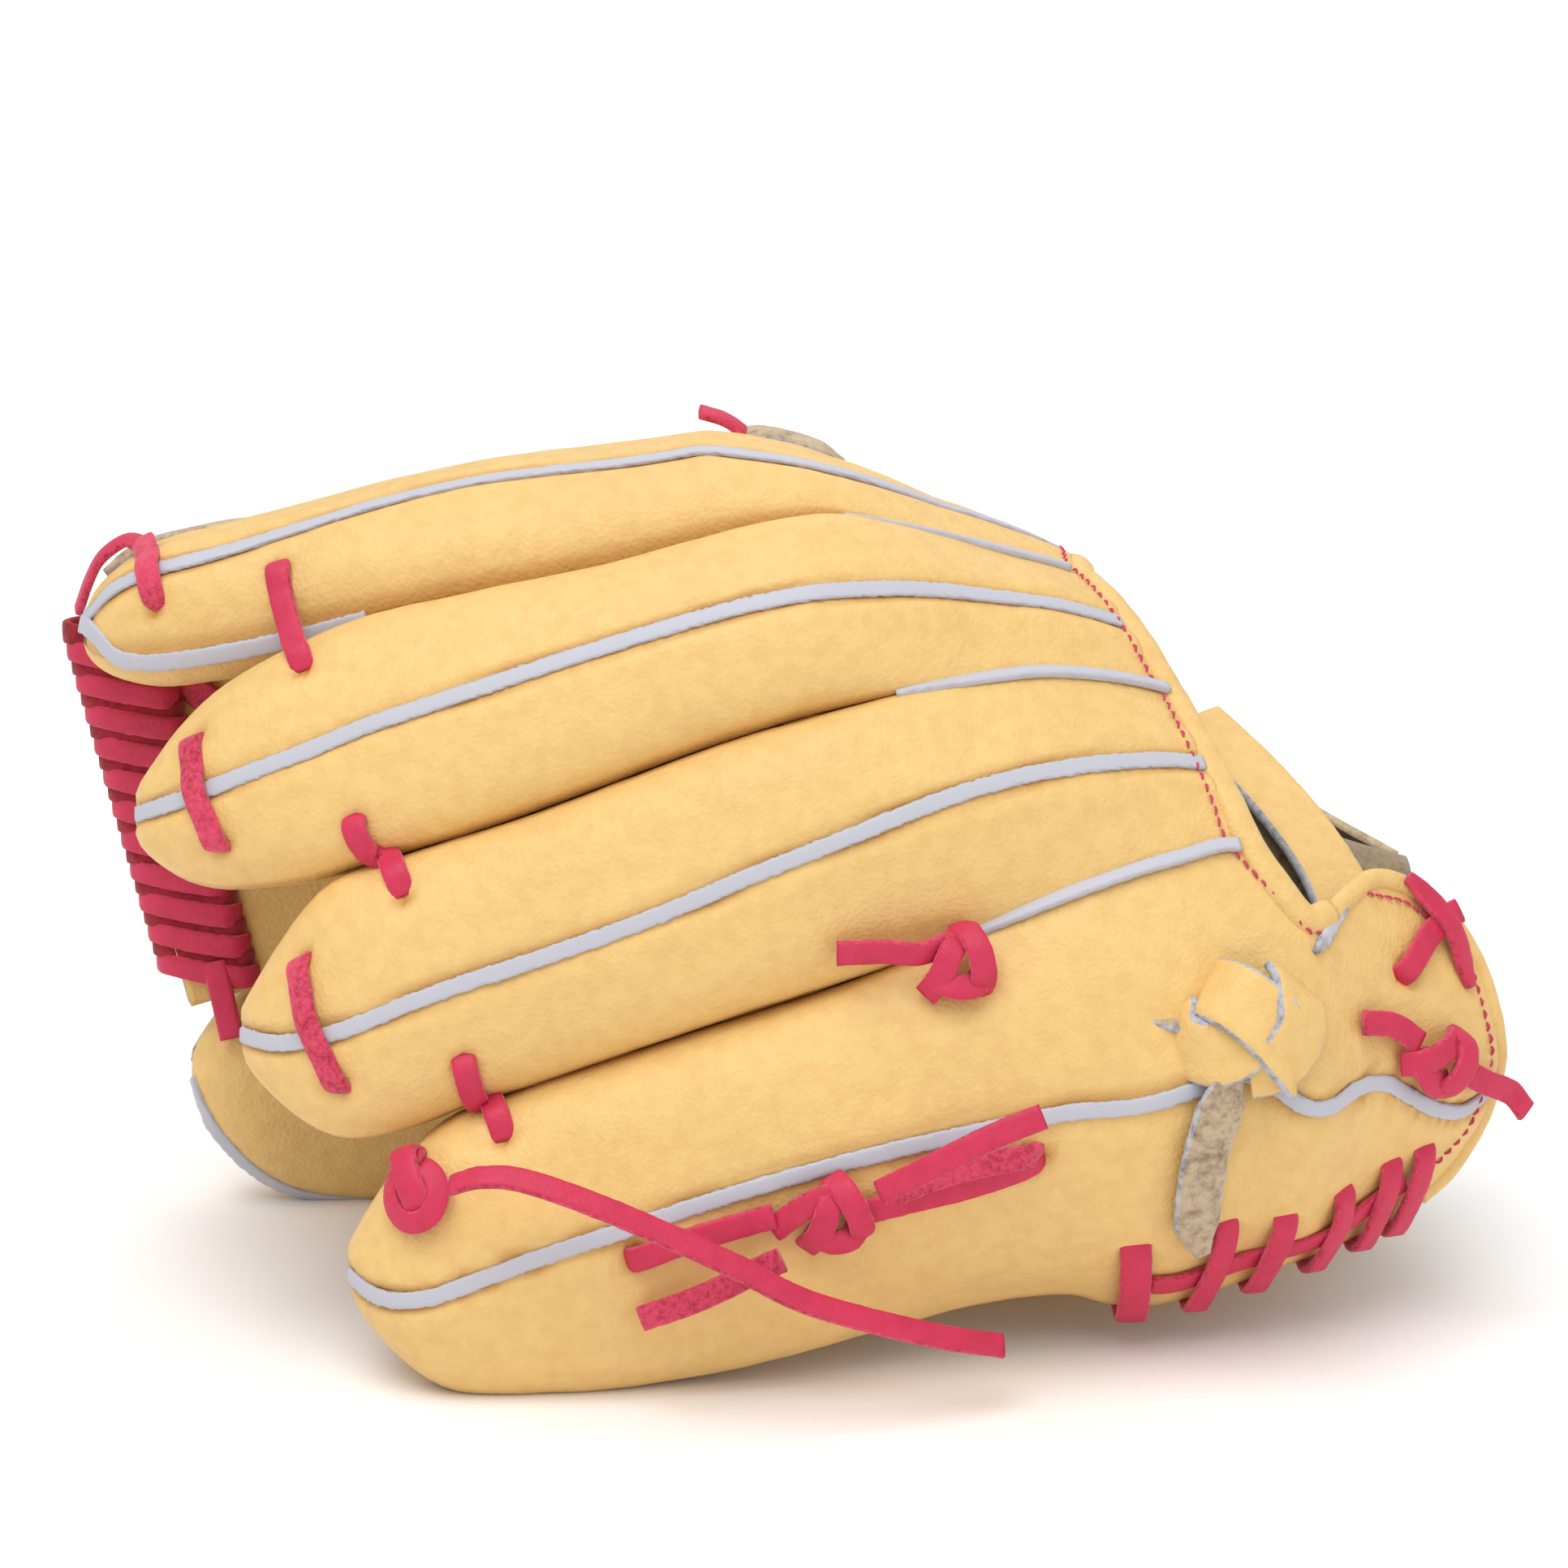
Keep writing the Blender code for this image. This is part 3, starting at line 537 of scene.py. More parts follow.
def ribbon(name, route, normals, width, thick, finishes, body, nodes=(), slot="lace", gap=1.0,
           fray=0.12, blend=None, ends=1.0, hanging=None):
    """A flat lace along route: grain side up (finish 0), flesh side and cut edges (finish 1)."""
    spots, ups = run(route, gap, [Vector(n) for n in normals])
    verts, uvs = [], []
    count = len(PROFILE)
    for i, spot, side, up, total in along(spots, ups):
        narrow = 1.0 if ends == 1.0 else ends + (1 - ends) * min(
            1.0, min(i, len(spots) - 1 - i) * gap / width)
        for k, (a, b) in enumerate(PROFILE):
            point = spot + side * width * a * narrow + up * thick * (b - 0.5)
            if b < 0.95:
                wild = noise.noise(point * 1.7) + 0.7 * noise.noise(point * 4.1)
                point += (side * (1 if a > 0 else -1) + up * 0.3) * wild * fray
            verts.append(point)
            uvs.append((total * MM, k / count))
    slots = [0 if 2 <= k <= 7 else 1 for _ in spots[1:] for k in range(count)] + [1, 1]
    piece = build(name, verts, skinned(len(spots), count), finishes, uvs, slots)
    hang(piece, body, blend, slot, nodes)
    if hanging:
        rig.cord(piece, path=[tuple(place(s)) for s in spots], diameter=width * MM,
                length=total * MM, **hanging)
    return piece


def on(wall, *stops):
    """Stops (x, across, lift) on one wall."""
    return [(wall, *stop) for stop in stops]


def over(stops):
    """Route and normals over the leather; a stop is (wall, x, across, lift)."""
    return ([w.above(x, s, lift) for w, x, s, lift in stops], [w.out(x, s) for w, x, s, _ in stops])


def lace(name, stops, nodes=(), body="glove", finishes=None, **more):
    """A lace of the usual size over the leather."""
    sizes = bpy.context.scene.glove
    route, ups = over(stops)
    ribbon(name, route, ups, sizes.lace_width, sizes.lace_thickness, finishes or laces(), body,
           nodes, **more)


def tube(name, route, normals, radii, nodes=(), sides=14):
    """A rolled edge: an oval bead along route, a little puckered."""
    spots, ups = run(route, 1.5, normals)
    verts, uvs = [], []
    for i, spot, side, up, total in along(spots, ups):
        grow = 1 + 0.06 * noise.noise(spot * 0.25)
        for k in range(sides):
            angle = 2 * math.pi * k / sides
            verts.append(spot + (side * radii[0] * math.cos(angle)
                                 + up * radii[1] * math.sin(angle)) * grow)
            uvs.append((total * MM, k / sides * 0.02))
    faces = skinned(len(spots), sides, turned=True)
    piece = build(name, verts, faces, [finish("tan grain")], uvs, None, [0.0] * len(verts))
    hang(piece, "glove", nodes=nodes)


def stitches(name, lines, body="glove", pitch=2.6, long=1.9, thick=0.34, slant=0.2, blend=None):
    """Short thread stitches laid along lines of (points, normals)."""
    verts, faces = [], []
    rings, count = 5, 6
    for points, ups in lines:
        spots, normals = run(points, pitch, [Vector(n) for n in ups])
        for i, (spot, up) in enumerate(zip(spots, normals)):
            ahead = (spots[min(i + 1, len(spots) - 1)] - spots[max(i - 1, 0)]).normalized()
            side = ahead.cross(up).normalized()
            ahead = (ahead + side * slant).normalized()
            faces += skinned(rings, count, len(verts), turned=True)
            for r in range(rings):
                t = r / (rings - 1)
                fat = thick * (0.45 + 0.55 * math.sin(math.pi * (0.1 + 0.8 * t)))
                middle = spot + ahead * long * (t - 0.5)
                middle += up * thick * (1.2 * math.sin(math.pi * t) - 0.5)
                for k in range(count):
                    angle = math.pi * k / 3
                    verts.append(middle + (side * math.cos(angle) + up * math.sin(angle)) * fat)
    hang(build(name, verts, faces, [finish("thread")]), body, blend, "lace")


# ---------------------------------------------------------------- materials
def nodes_of(name):
    made = bpy.data.materials.new(name)
    made.use_nodes = True
    tree = made.node_tree
    return made, tree, tree.nodes["Principled BSDF"]


def tune(tree, node, links=(), **values):
    """Set a node's sockets (in_...) and settings, then link its sockets."""
    for key, value in values.items():
        if key.startswith("in_"):
            node.inputs[key[3:].replace("_", " ")].default_value = value
        else:
            setattr(node, key, value)
    for socket, source in links:
        tree.links.new(source, node.inputs[socket])
    return node


def wire(tree, kind, links=(), **values):
    return tune(tree, tree.nodes.new(kind), links, **values)


def ramp(tree, source, stops):
    node = tree.nodes.new("ShaderNodeValToRGB")
    node.color_ramp.elements[0].position, node.color_ramp.elements[0].color = stops[0]
    node.color_ramp.elements[1].position, node.color_ramp.elements[1].color = stops[-1]
    for position, colour in stops[1:-1]:
        node.color_ramp.elements.new(position).color = colour
    tree.links.new(source, node.inputs["Fac"])
    return node


def shade(colour, k):
    return (colour[0] * k, colour[1] * k, colour[2] * k, 1.0)


def grain_leather(name, colour, deep, roughness=0.5, grain=1150.0, bump=0.36):
    """Smooth hide: fine pebble grain, soft mottling, and painted shade: darker where the painted_shade attribute is
    high.
    """
    made, tree, shader = nodes_of(name)
    spot = wire(tree, "ShaderNodeTexCoord").outputs["Object"]
    broad = wire(tree, "ShaderNodeTexNoise", [("Vector", spot)], in_Scale=22.0, in_Detail=4.0)
    fine = wire(tree, "ShaderNodeTexNoise", [("Vector", spot)], in_Scale=260.0, in_Detail=3.0)
    pebble = wire(tree, "ShaderNodeTexVoronoi", [("Vector", spot)], in_Scale=grain,
                  feature="SMOOTH_F1")
    base = ramp(tree, broad.outputs["Fac"], [(0.3, shade(colour, 0.96)), (0.5, shade(colour, 1.0)),
                                             (0.7, shade(colour, 1.03))])
    speck = ramp(tree, fine.outputs["Fac"], [(0.35, shade(deep, 1.0)), (0.6, (1, 1, 1, 1))])
    mixed = wire(tree, "ShaderNodeMix", [("A", base.outputs["Color"]),
                                         ("B", speck.outputs["Color"])],
                 data_type="RGBA", blend_type="MULTIPLY", in_Factor=0.14)
    # Painted shade: the painted_shade attribute darkens the colour towards the deep tone.
    painted_shade = wire(tree, "ShaderNodeAttribute", attribute_name="painted_shade")
    painted_shade_mix = wire(tree, "ShaderNodeMix", [("Factor", painted_shade.outputs["Fac"]),
                                         ("A", mixed.outputs["Result"])],
                 data_type="RGBA", blend_type="MULTIPLY", in_B=shade(deep, 1.0))
    height = wire(tree, "ShaderNodeMath", [(0, pebble.outputs["Distance"]),
                                           (1, fine.outputs["Fac"])], operation="ADD")
    lumps = wire(tree, "ShaderNodeBump", [("Height", height.outputs[0])], in_Strength=bump,
                 in_Distance=0.0005)
    rough = wire(tree, "ShaderNodeMapRange", [("Value", broad.outputs["Fac"])],
                 in_To_Min=roughness - 0.05, in_To_Max=roughness + 0.07)
    tune(tree, shader, [("Base Color", painted_shade_mix.outputs["Result"]), ("Normal", lumps.outputs["Normal"]),
                        ("Roughness", rough.outputs["Result"])], in_Specular_IOR_Level=0.35)
    return made


def rough_leather(name, colour, deep, streak=1.0, scale=420.0):
    """Flesh side, suede or a cut edge: fibrous, matt and two-toned."""
    made, tree, shader = nodes_of(name)
    spot = wire(tree, "ShaderNodeTexCoord").outputs["Object"]
    stretch = wire(tree, "ShaderNodeMapping", [("Vector", spot)], in_Scale=(streak, 1.0, 1.0))
    fibre = wire(tree, "ShaderNodeTexNoise", [("Vector", stretch.outputs["Vector"])],
                 in_Scale=scale, in_Detail=6.0, in_Roughness=0.7)
    patch = wire(tree, "ShaderNodeTexNoise", [("Vector", spot)], in_Scale=70.0, in_Detail=3.0)
    scaled = wire(tree, "ShaderNodeMath", [(0, patch.outputs["Fac"])], operation="MULTIPLY")
    scaled.inputs[1].default_value = 0.3
    both = wire(tree, "ShaderNodeMath", [(0, fibre.outputs["Fac"]), (2, scaled.outputs[0])],
                operation="MULTIPLY_ADD")
    both.inputs[1].default_value = 0.7
    base = ramp(tree, both.outputs[0], [(0.36, shade(deep, 1.0)), (0.52, shade(colour, 0.92)),
                                        (0.66, shade(colour, 1.12))])
    lumps = wire(tree, "ShaderNodeBump", [("Height", fibre.outputs["Fac"])], in_Strength=0.55,
                 in_Distance=0.0006)
    tune(tree, shader, [("Base Color", base.outputs["Color"]), ("Normal", lumps.outputs["Normal"])],
         in_Roughness=0.95, in_Specular_IOR_Level=0.12, in_Sheen_Weight=0.25,
         in_Sheen_Roughness=0.5)
    return made


ROUGH = {
    "tan edge": ((0.60, 0.47, 0.30), (0.30, 0.20, 0.10)),
    "suede lining": ((0.30, 0.21, 0.115), (0.13, 0.085, 0.045)),
    "suede back": ((0.56, 0.43, 0.29), (0.24, 0.165, 0.10)),
    "grey cut edge": ((0.52, 0.52, 0.56), (0.16, 0.16, 0.20)),
    "lace flesh": ((0.72, 0.07, 0.135), (0.36, 0.015, 0.04), 1.0, 900.0),
    "lace dark": ((0.36, 0.022, 0.035), (0.16, 0.01, 0.014)),
    "welt": ((0.46, 0.46, 0.50), (0.20, 0.20, 0.24), 0.3, 700.0),
}


def finish(name):
    """The finishes by name, each made once."""
    made = bpy.data.materials.get(name)
    if made:
        return made
    if name in ROUGH:
        return rough_leather(name, *ROUGH[name])
    sizes = bpy.context.scene.glove
    if name == "tan grain":
        return grain_leather(name, sizes.leather, (0.62, 0.40, 0.20))
    if name == "lace grain":
        return grain_leather(name, sizes.lace, (0.35, 0.02, 0.05), 0.50, 1300.0, 0.2)
    return grain_leather(name, (0.62, 0.05, 0.14), (0.25, 0.01, 0.04), 0.6, 2600.0, 0.3)


def hides():
    return [finish("tan grain"), finish("suede lining"), finish("tan edge")]


def laces():
    return [finish("lace grain"), finish("lace flesh")]


def flesh_laces():
    return [finish("lace flesh")] * 2


# ---------------------------------------------------------------- leather
def sides(count):
    """Positions across a stall, close together near its seams."""
    spread = []
    for k in range(count + 1):
        c = math.cos(math.pi * k / count)
        spread.append(-math.copysign(abs(c) ** (2 / FULLNESS), c))
    return spread


def stations(tip, end, pitch=1.7):
    """Positions down a finger, close together round its tip."""
    spots = [tip + NOSE * (1 - math.cos(math.pi / 2 * k / 12)) for k in range(1, 13)]
    count = max(2, round((end - spots[-1]) / pitch))
    return [tip + 0.02] + spots + [spots[-1] + (end - spots[-1]) * k / count
                                   for k in range(1, count + 1)]


def back_rows(wall, ends, spread):
    """Grid over a finger's back, ending on a slant at the wrist opening."""
    middle = (ends[0] + ends[1]) / 2
    rows = []
    for x in stations(wall.tip, middle):
        share = ease(x, 25, middle)
        row = []
        for s in spread:
            end = ends[0] + (ends[1] - ends[0]) * (s + 1) / 2
            row.append(wall.skin(x + (end - middle) * share, s))
        rows.append(row)
    return rows


def back_leather(key, ends, dents=(), **more):
    """A finger's back, with its seam sunk in and a dent (x, across, radius, depth) at each hole."""
    wall, spread = WALLS[key], sides(56)
    places = [(wall.skin(x, s), radius, depth) for x, s, radius, depth in dents]

    def off_seam(j, spot):
        half = (wall.high(spot.x) - wall.low(spot.x)).length / 2
        return abs(spread[j] - seam(key, spot.x)) * half * wall.taper(spot.x)

    def relief(i, j, spot):
        off = off_seam(j, spot)
        lift = 0.55 * math.exp(-((off - 5) / 3.5) ** 2) - 1.1 * math.exp(-(off / 1.9) ** 2)
        for middle, radius, depth in places:
            away = (spot - middle).length
            if away < radius * 3:
                lift -= depth * math.exp(-(away / radius) ** 2)
        return lift

    # Painted shade: darker in a thin line beside the sunk seam, along the stall's edges next to its neighbours, and in
    # the lace holes.
    def painted_shade(i, j, spot):
        off = off_seam(j, spot)
        value = 0.75 * math.exp(-((off - 1.9) / 0.7) ** 2) + 0.5 * ease(abs(spread[j]), 0.965, 1.0)
        for middle, radius, depth in places:
            away = (spot - middle).length
            if away < radius * 2.5:
                value += 1.4 * math.exp(-(away / radius / 0.7) ** 2)
        return min(value, 1.0)

    hide(f"{key}_leather", back_rows(wall, ends, spread), hides(), relief=relief, painted_shade=painted_shade, **more)


def front_leather(key, v0, v1, **more):
    """A finger's pocket side, running on into the palm between two of its lines."""
    wall, spread = WALLS[key], sides(40)
    rows = []
    for x in stations(wall.tip, 130):
        share = ease(x, 6, 52)
        row = []
        for s in spread:
            near = wall.inner(x, s)
            if share > 0:
                near = near.lerp(pocket(x, v0 + (v1 - v0) * (s + 1) / 2), share)
            near.z = max(near.z, FLOOR_GAP)
            row.append(near)
        rows.append(row)
    hide(f"{key}_front", rows, hides(), flip=True, **more)


class GloveSizes(bpy.types.PropertyGroup):
    lace_width: bpy.props.FloatProperty(
        name="Lace width", description="Width of the flat laces, in millimetres", default=5.1)
    lace_thickness: bpy.props.FloatProperty(
        name="Lace thickness", description="Thickness of the laces, in millimetres", default=1.8)
    leather: bpy.props.FloatVectorProperty(
        name="Leather", description="Colour of the leather", subtype="COLOR", size=3,
        min=0, max=1, default=(0.80, 0.53, 0.195))
    lace: bpy.props.FloatVectorProperty(
        name="Lace", description="Colour of the lace's grain side", subtype="COLOR", size=3,
        min=0, max=1, default=(0.60, 0.03, 0.085))


class GLOVE_OT_stage(bpy.types.Operator):
    """Camera, floor and studio light"""
    bl_idname = "glove.stage"
    bl_label = "Stage"

    def execute(self, context):
        camera = bpy.data.objects.new("camera", bpy.data.cameras.new("camera"))
        camera.data.lens = 130.7
        camera.data.sensor_width = 36.0
        camera.location = (SHIFT.x * MM, (SHIFT.y - 1099.7) * MM, 0.4462)
        camera.rotation_euler = (math.radians(73), 0, 0)
        context.collection.objects.link(camera)
        context.scene.camera = camera
        bpy.ops.mesh.primitive_plane_add(size=12)
        floor = context.active_object
        floor.name = "floor"
        made, tree, shader = nodes_of("floor")
        shader.inputs["Base Color"].default_value = (0.97, 0.965, 0.96, 1)
        shader.inputs["Roughness"].default_value = 0.9
        shader.inputs["Specular IOR Level"].default_value = 0.1
        floor.data.materials.append(made)
        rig.stage(floor)
        for name, spot, size, power in (("key", (-0.45, -0.35, 1.7), 1.0, 6.0),
                                        ("fill", (1.1, -1.3, 0.9), 1.6, 4.0),
                                        ("back", (0.2, 1.2, 1.3), 1.4, 5.0)):
            light = bpy.data.objects.new(name, bpy.data.lights.new(name, "AREA"))
            light.data.size = size
            light.data.energy = power
            light.location = spot
            aim = Vector((0, 0, 0.08)) - Vector(spot)
            light.rotation_euler = aim.to_track_quat("-Z", "Y").to_euler()
            context.collection.objects.link(light)
        sun = bpy.data.objects.new("overhead", bpy.data.lights.new("overhead", "SUN"))
        sun.data.energy = 1.3
        sun.data.angle = math.radians(50)
        sun.rotation_euler = (math.radians(20), math.radians(-10), 0)
        context.collection.objects.link(sun)
        world = bpy.data.worlds.new("studio")
        world.use_nodes = True
        world.node_tree.nodes["Background"].inputs["Color"].default_value = (1, 1, 1, 1)
        world.node_tree.nodes["Background"].inputs["Strength"].default_value = 0.6
        context.scene.world = world
        context.scene.view_settings.view_transform = "Standard"
        return {"FINISHED"}


class GLOVE_OT_cords(bpy.types.Operator):
    """The three free lace ends that hang from knots on the pinky side"""
    bl_idname = "glove.cords"
    bl_label = "Free lace ends"

    def execute(self, context):
        w, t = context.scene.glove.lace_width, context.scene.glove.lace_thickness
        for name, node, lay, finishes, route, ups in (
                ("pinky_tail_lace", "pinky_tail", "hanging", laces(),
                 [(-64.5, -69.5, 50), (-58, -71.5, 52.5), (-49, -73, 52), (-32, -74.5, 46),
                  (-10, -74.5, 35.5), (5, -73, 27), (28, -67, 18), (43, -61, 13)],
                 [(0, -.4, .9), (0, -.5, .85), (.1, -.6, .8), (.2, -.65, .7), (.2, -.7, .7),
                  (.2, -.7, .7), (.1, -.7, .7), (0, -.7, .7)]),
                ("side_tail_high_lace", "pinky_side_tail_high", "loose", laces(),
                 [(18.5, -69.5, 48.5), (25, -71, 52.5), (32, -71.5, 56.5), (41, -71, 61),
                  (50, -70, 64.5)], [(0, -.9, .4)] * 5),
                ("side_tail_low_lace", "pinky_side_tail_low", "loose", flesh_laces(),
                 [(-0.5, -68, 34), (-6, -67, 31), (-13, -66.5, 27), (-20, -65.5, 23.5),
                  (-28, -64, 20)], [(0, -.95, .2)] * 5)):
            ribbon(name, route, ups, w, t, finishes, "pinky_side", [node],
                   hanging=dict(exit=tuple(place(Vector(route[0]))), far_end="bare",
                                stiffness="medium", lay=lay))
        return {"FINISHED"}


class GLOVE_OT_backs(bpy.types.Operator):
    """The leather over the backs of the four fingers and the heel"""
    bl_idname = "glove.backs"
    bl_label = "Finger backs"

    def execute(self, context):
        for key, dents in (
                ("index", [(-102.6, -0.74, 2.6, 1.7), (-130, 0.2, 2.2, 1.3),
                           (-128, -0.86, 2.4, 1.7)]),
                ("middle", [(-96.3, 0.7, 2.6, 1.7), (-85, -0.74, 2.6, 1.7),
                            (-118.3, 0.62, 2.2, 1.7), (-112.8, -0.66, 2.2, 1.7)]),
                ("ring", [(-75.4, 0.7, 2.6, 1.7), (-63, -0.64, 2.6, 1.7), (-96, 0.56, 2.2, 1.7),
                          (-88, -0.6, 2.2, 1.7)])):
            back_leather(key, ENDS[key], dents, body="glove",
                         nodes=[f"{key}_stall", f"{key}_back"])
        back_leather("pinky", (145.95, 145.95),
                     [(-55.4, 0.78, 2.6, 1.7), (-29.5, -0.12, 3.0, 2.2), (50.5, -0.09, 3.0, 2.2),
                      (124.8, 0.56, 2.6, 2.0), (-71, 0.57, 3.5, 1.2)], blend=PINKY_BLEND,
                     nodes=["pinky_stall", "pinky_back", "heel_flap", "heel_lining",
                            "pinky_stiffener"])
        return {"FINISHED"}


class GLOVE_OT_pocket(bpy.types.Operator):
    """The leather of the pocket, from the fingers through the palm to the thumb"""
    bl_idname = "glove.pocket"
    bl_label = "Pocket"

    def execute(self, context):
        front_leather("pinky", 0, 2, blend=PINKY_BLEND)
        front_leather("ring", 2, 3, body="glove")
        front_leather("middle", 3, 3.6, body="glove")
        front_leather("index", 3.6, 5, body="glove", nodes=["palm_leather", "palm_lining"])
        return {"FINISHED"}


class GLOVE_OT_thumb(bpy.types.Operator):
    """The thumb, its crotch and the leather down to the wrist"""
    bl_idname = "glove.thumb"
    bl_label = "Thumb side"

    def execute(self, context):
        front_leather("thumb", 6.8, 9, body="thumb_side", nodes=["thumb_palm"])
        back_leather("thumb", (130, 130), body="thumb_side", nodes=["thumb_stall", "thumb_back"])
        spread = sides(36)
        xs = [-47 + 177 * k / 90 for k in range(91)]
        rows = [[CROTCH.skin(x, s) for s in spread] for x in xs]
        hide("crotch_outer", rows, hides(), blend=THUMB_BLEND,
             nodes=["ridge_back", "crotch_back", "ridge_pad", "crotch_pad"])
        rows = [[CROTCH.inner(x, s).lerp(pocket(x, 5 + 1.8 * (s + 1) / 2), ease(x, 6, 52))
                 for s in spread] for x in xs]
        hide("crotch_inner", rows, hides(), flip=True, blend=THUMB_BLEND)
        return {"FINISHED"}


WEB_END = -46  # where the web meets the crotch


def web_edge(z):
    """Where the web's free edge is at height z."""
    return -149 + 20 * (137 - z) / 87


def web_spot(x, z, lift=0.0):
    """A point lift mm proud of the web's front face."""
    rear, top = through(INDEX_REAR)(x), through(THUMB_TOP)(x)
    share = (rear.z - 4 - z) / (rear.z - 5 - top.z)
    y = (rear.y + 1) * (1 - share) + (top.y - 1) * share
    part = (x - web_edge(z) - 1) / (WEB_END - web_edge(z) - 1)
    return Vector((x, y + 2.5 * math.sin(math.pi * min(max(part, 0), 1)) - 4.2 - lift, z))


class GLOVE_OT_web(bpy.types.Operator):
    """The closed web and the lacing round its free edge"""
    bl_idname = "glove.web"
    bl_label = "Web"

    def leather(self):
        rear, top = through(INDEX_REAR), through(THUMB_TOP)
        rows = []
        for i in range(60):
            t = i / 59
            row = []
            for j in range(60):
                s = j / 59
                x = -146 + 4 * s + (100 - 4 * s) * t
                spot = (rear(x) + Vector((0, 1, -4))).lerp(top(x) + Vector((0, -1, 1)), s)
                spot.x = web_edge(spot.z) + 1 + (WEB_END - web_edge(spot.z) - 1) * t
                spot.y += 2.5 * math.sin(math.pi * t)
                row.append(spot)
            rows.append(row)
        hide("web_leather", rows, [finish("tan grain"), finish("tan grain"), finish("tan edge")],
             wall=4.0, blend=THUMB_BLEND, nodes=["web_panel", "web_index_side"])

    def wrap(self, name, z, out, width, finishes, nodes):
        """One turn of the edge lacing at height z, out mm off the middle of the web."""
        x, y = web_edge(z), 45.2 + (124 - z) * 0.058
        route = [(x + 18, y - 1.0, z - 3), (x + 15.5, y - out * .9, z - 2.8),
                 (x + 8, y - out, z - 1.6), (x + .5, y - out * .8, z - .2), (x - 2.4, y, z),
                 (x + .5, y + out * .9, z), (x + 8, y + out + 1.5, z - 1.5),
                 (x + 15, y + out + 1.5, z - 2.7), (x + 18, y + 2.5, z - 3)]
        ups = [(-.2, -1, 0), (-.1, -1, 0), (0, -1, 0), (-.7, -.7, 0), (-1, 0, 0), (-.7, .7, 0),
               (0, 1, 0), (.1, 1, 0), (.2, 1, 0)]
        ribbon(name, route, ups, width, 1.7, finishes, None, nodes, blend=THUMB_BLEND)

    def execute(self, context):
        self.leather()
        wraps = 11
        for k in range(wraps):
            z = 126 - (126 - 56) * k / (wraps - 1)
            self.wrap(f"web_wrap_{k + 1}_a", z, 4.3, 5.0, laces(),
                      ["web_edge_lace"] if k == 0 else ())
            self.wrap(f"web_wrap_{k + 1}_b", z + 3.6, 3.5, 4.7, [finish("lace dark")] * 2, ())
        lines = []
        for x0, z0, x1, z1 in (
                (-118.7, 74, -118.7, 60.6), (-118.7, 60.6, -108.5, 60.6),
                (-108.5, 60.6, -108.5, 74), (-115.9, 74, -115.9, 63.2),
                (-111.3, 63.2, -111.3, 74), (-118.7, 63.2, -108.5, 63.2),
                (-89.7, 126, -89.7, 115), (-86.4, 126, -86.4, 115), (-82.6, 126, -82.6, 115)):
            spots = [web_spot(x0 + (x1 - x0) * k / 7, z0 + (z1 - z0) * k / 7, 0.3)
                     for k in range(8)]
            lines.append((spots, [(0, -1, 0)] * 8))
        stitches("web_stitches", lines, None, 2.0, 1.6, 0.3, 0.0, THUMB_BLEND)
        for name, stops, width, finishes in (
                ("web_cross_lace", [(-132, 126, -1), (-129, 121.5, 1.2), (-124, 117, 1.4),
                                    (-119.5, 112.5, 1.2), (-117, 109, -1)], 6.6, flesh_laces()),
                ("web_inner_lace", [(-114.5, 128, -1), (-112.5, 125, 1), (-107, 120.5, 1),
                                    (-104, 118, -1)], 5.0, [finish("lace dark")] * 2)):
            ribbon(name, [web_spot(*stop) for stop in stops], [(0, -1, 0)] * len(stops), width,
                   1.6, finishes, None, blend=THUMB_BLEND)
        return {"FINISHED"}


def welt(name, spots, ups, width, thick, fray, body, nodes=(), blend=None):
    ribbon(name, spots, ups, width, thick, [finish("welt")] * 2, body, nodes, "welt", gap=0.8,
           fray=fray, blend=blend)


class GLOVE_OT_welts(bpy.types.Operator):
    """The flat grey welts in the seams"""
    bl_idname = "glove.welts"
    bl_label = "Welts"

    def execute(self, context):
        for key, start, end, body, nodes in (
                ("index", -143.5, 57.5, "glove", ["index_welt"]),
                ("middle", -130.3, 68, "glove", ["middle_welt"]),
                ("ring", -108.3, 83.5, "glove", ["ring_welt"]),
                ("pinky", -86.3, 143, None, ["pinky_welt", "heel_welt"]),
                ("thumb", -126, 128, "thumb_side", ["thumb_welt", "thumb_heel_welt"])):
            xs = [start + (end - start) * k / 40 for k in range(41)]
            spots, ups = over([(WALLS[key], x, seam(key, x), 0.1) for x in xs])
            welt(f"{key}_seam", spots, ups, 3.3, 1.2, 0.34, body, nodes,
                 None if body else PINKY_BLEND)
        for name, wall, start, end in (("index_middle", MIDDLE, 12, 58),
                                       ("middle_ring", RING, 22, 77),
                                       ("ring_pinky", PINKY, 36, 90)):
            spots, ups = [], []
            for k in range(21):
                x = start + (end - start) * k / 20
                spots.append(wall.high(x) + Vector((0, -0.4, 0.6)))
                ups.append((wall.out(x, 0.95) + Vector((0, 0, 0.6))).normalized())
            welt(f"{name}_seam", spots, ups, 3.0, 1.6, 0.28, "glove", [f"{name}_welt"])
        spots, ups = over(on(INDEX, (-143.2, .45, .2), (-144.1, 0, .4), (-143.6, -.6, .4),
                             (-141, -.93, .4), (-134, -1, .5), (-118, -1, .5), (-100, -1, .5),
                             (-84, -1, .4)))
        welt("index_front_seam", spots, ups, 3.8, 1.4, 0.3, "glove")
        spots, ups = [], []
        for x, s in ((-126.6, .1), (-125, .55), (-121, .82), (-112, .93), (-100, .96),
                     (-80, .97), (-50, .97), (-20, .97)):
            spots.append(THUMB.inner(x, s) + Vector((0, -.3, -.3)))
            ups.append(Vector((-.8 if x < -124 else 0, -.7, -.7)).normalized())
        welt("thumb_front_seam", spots, ups, 3.4, 1.4, 0.3, "thumb_side")
        return {"FINISHED"}


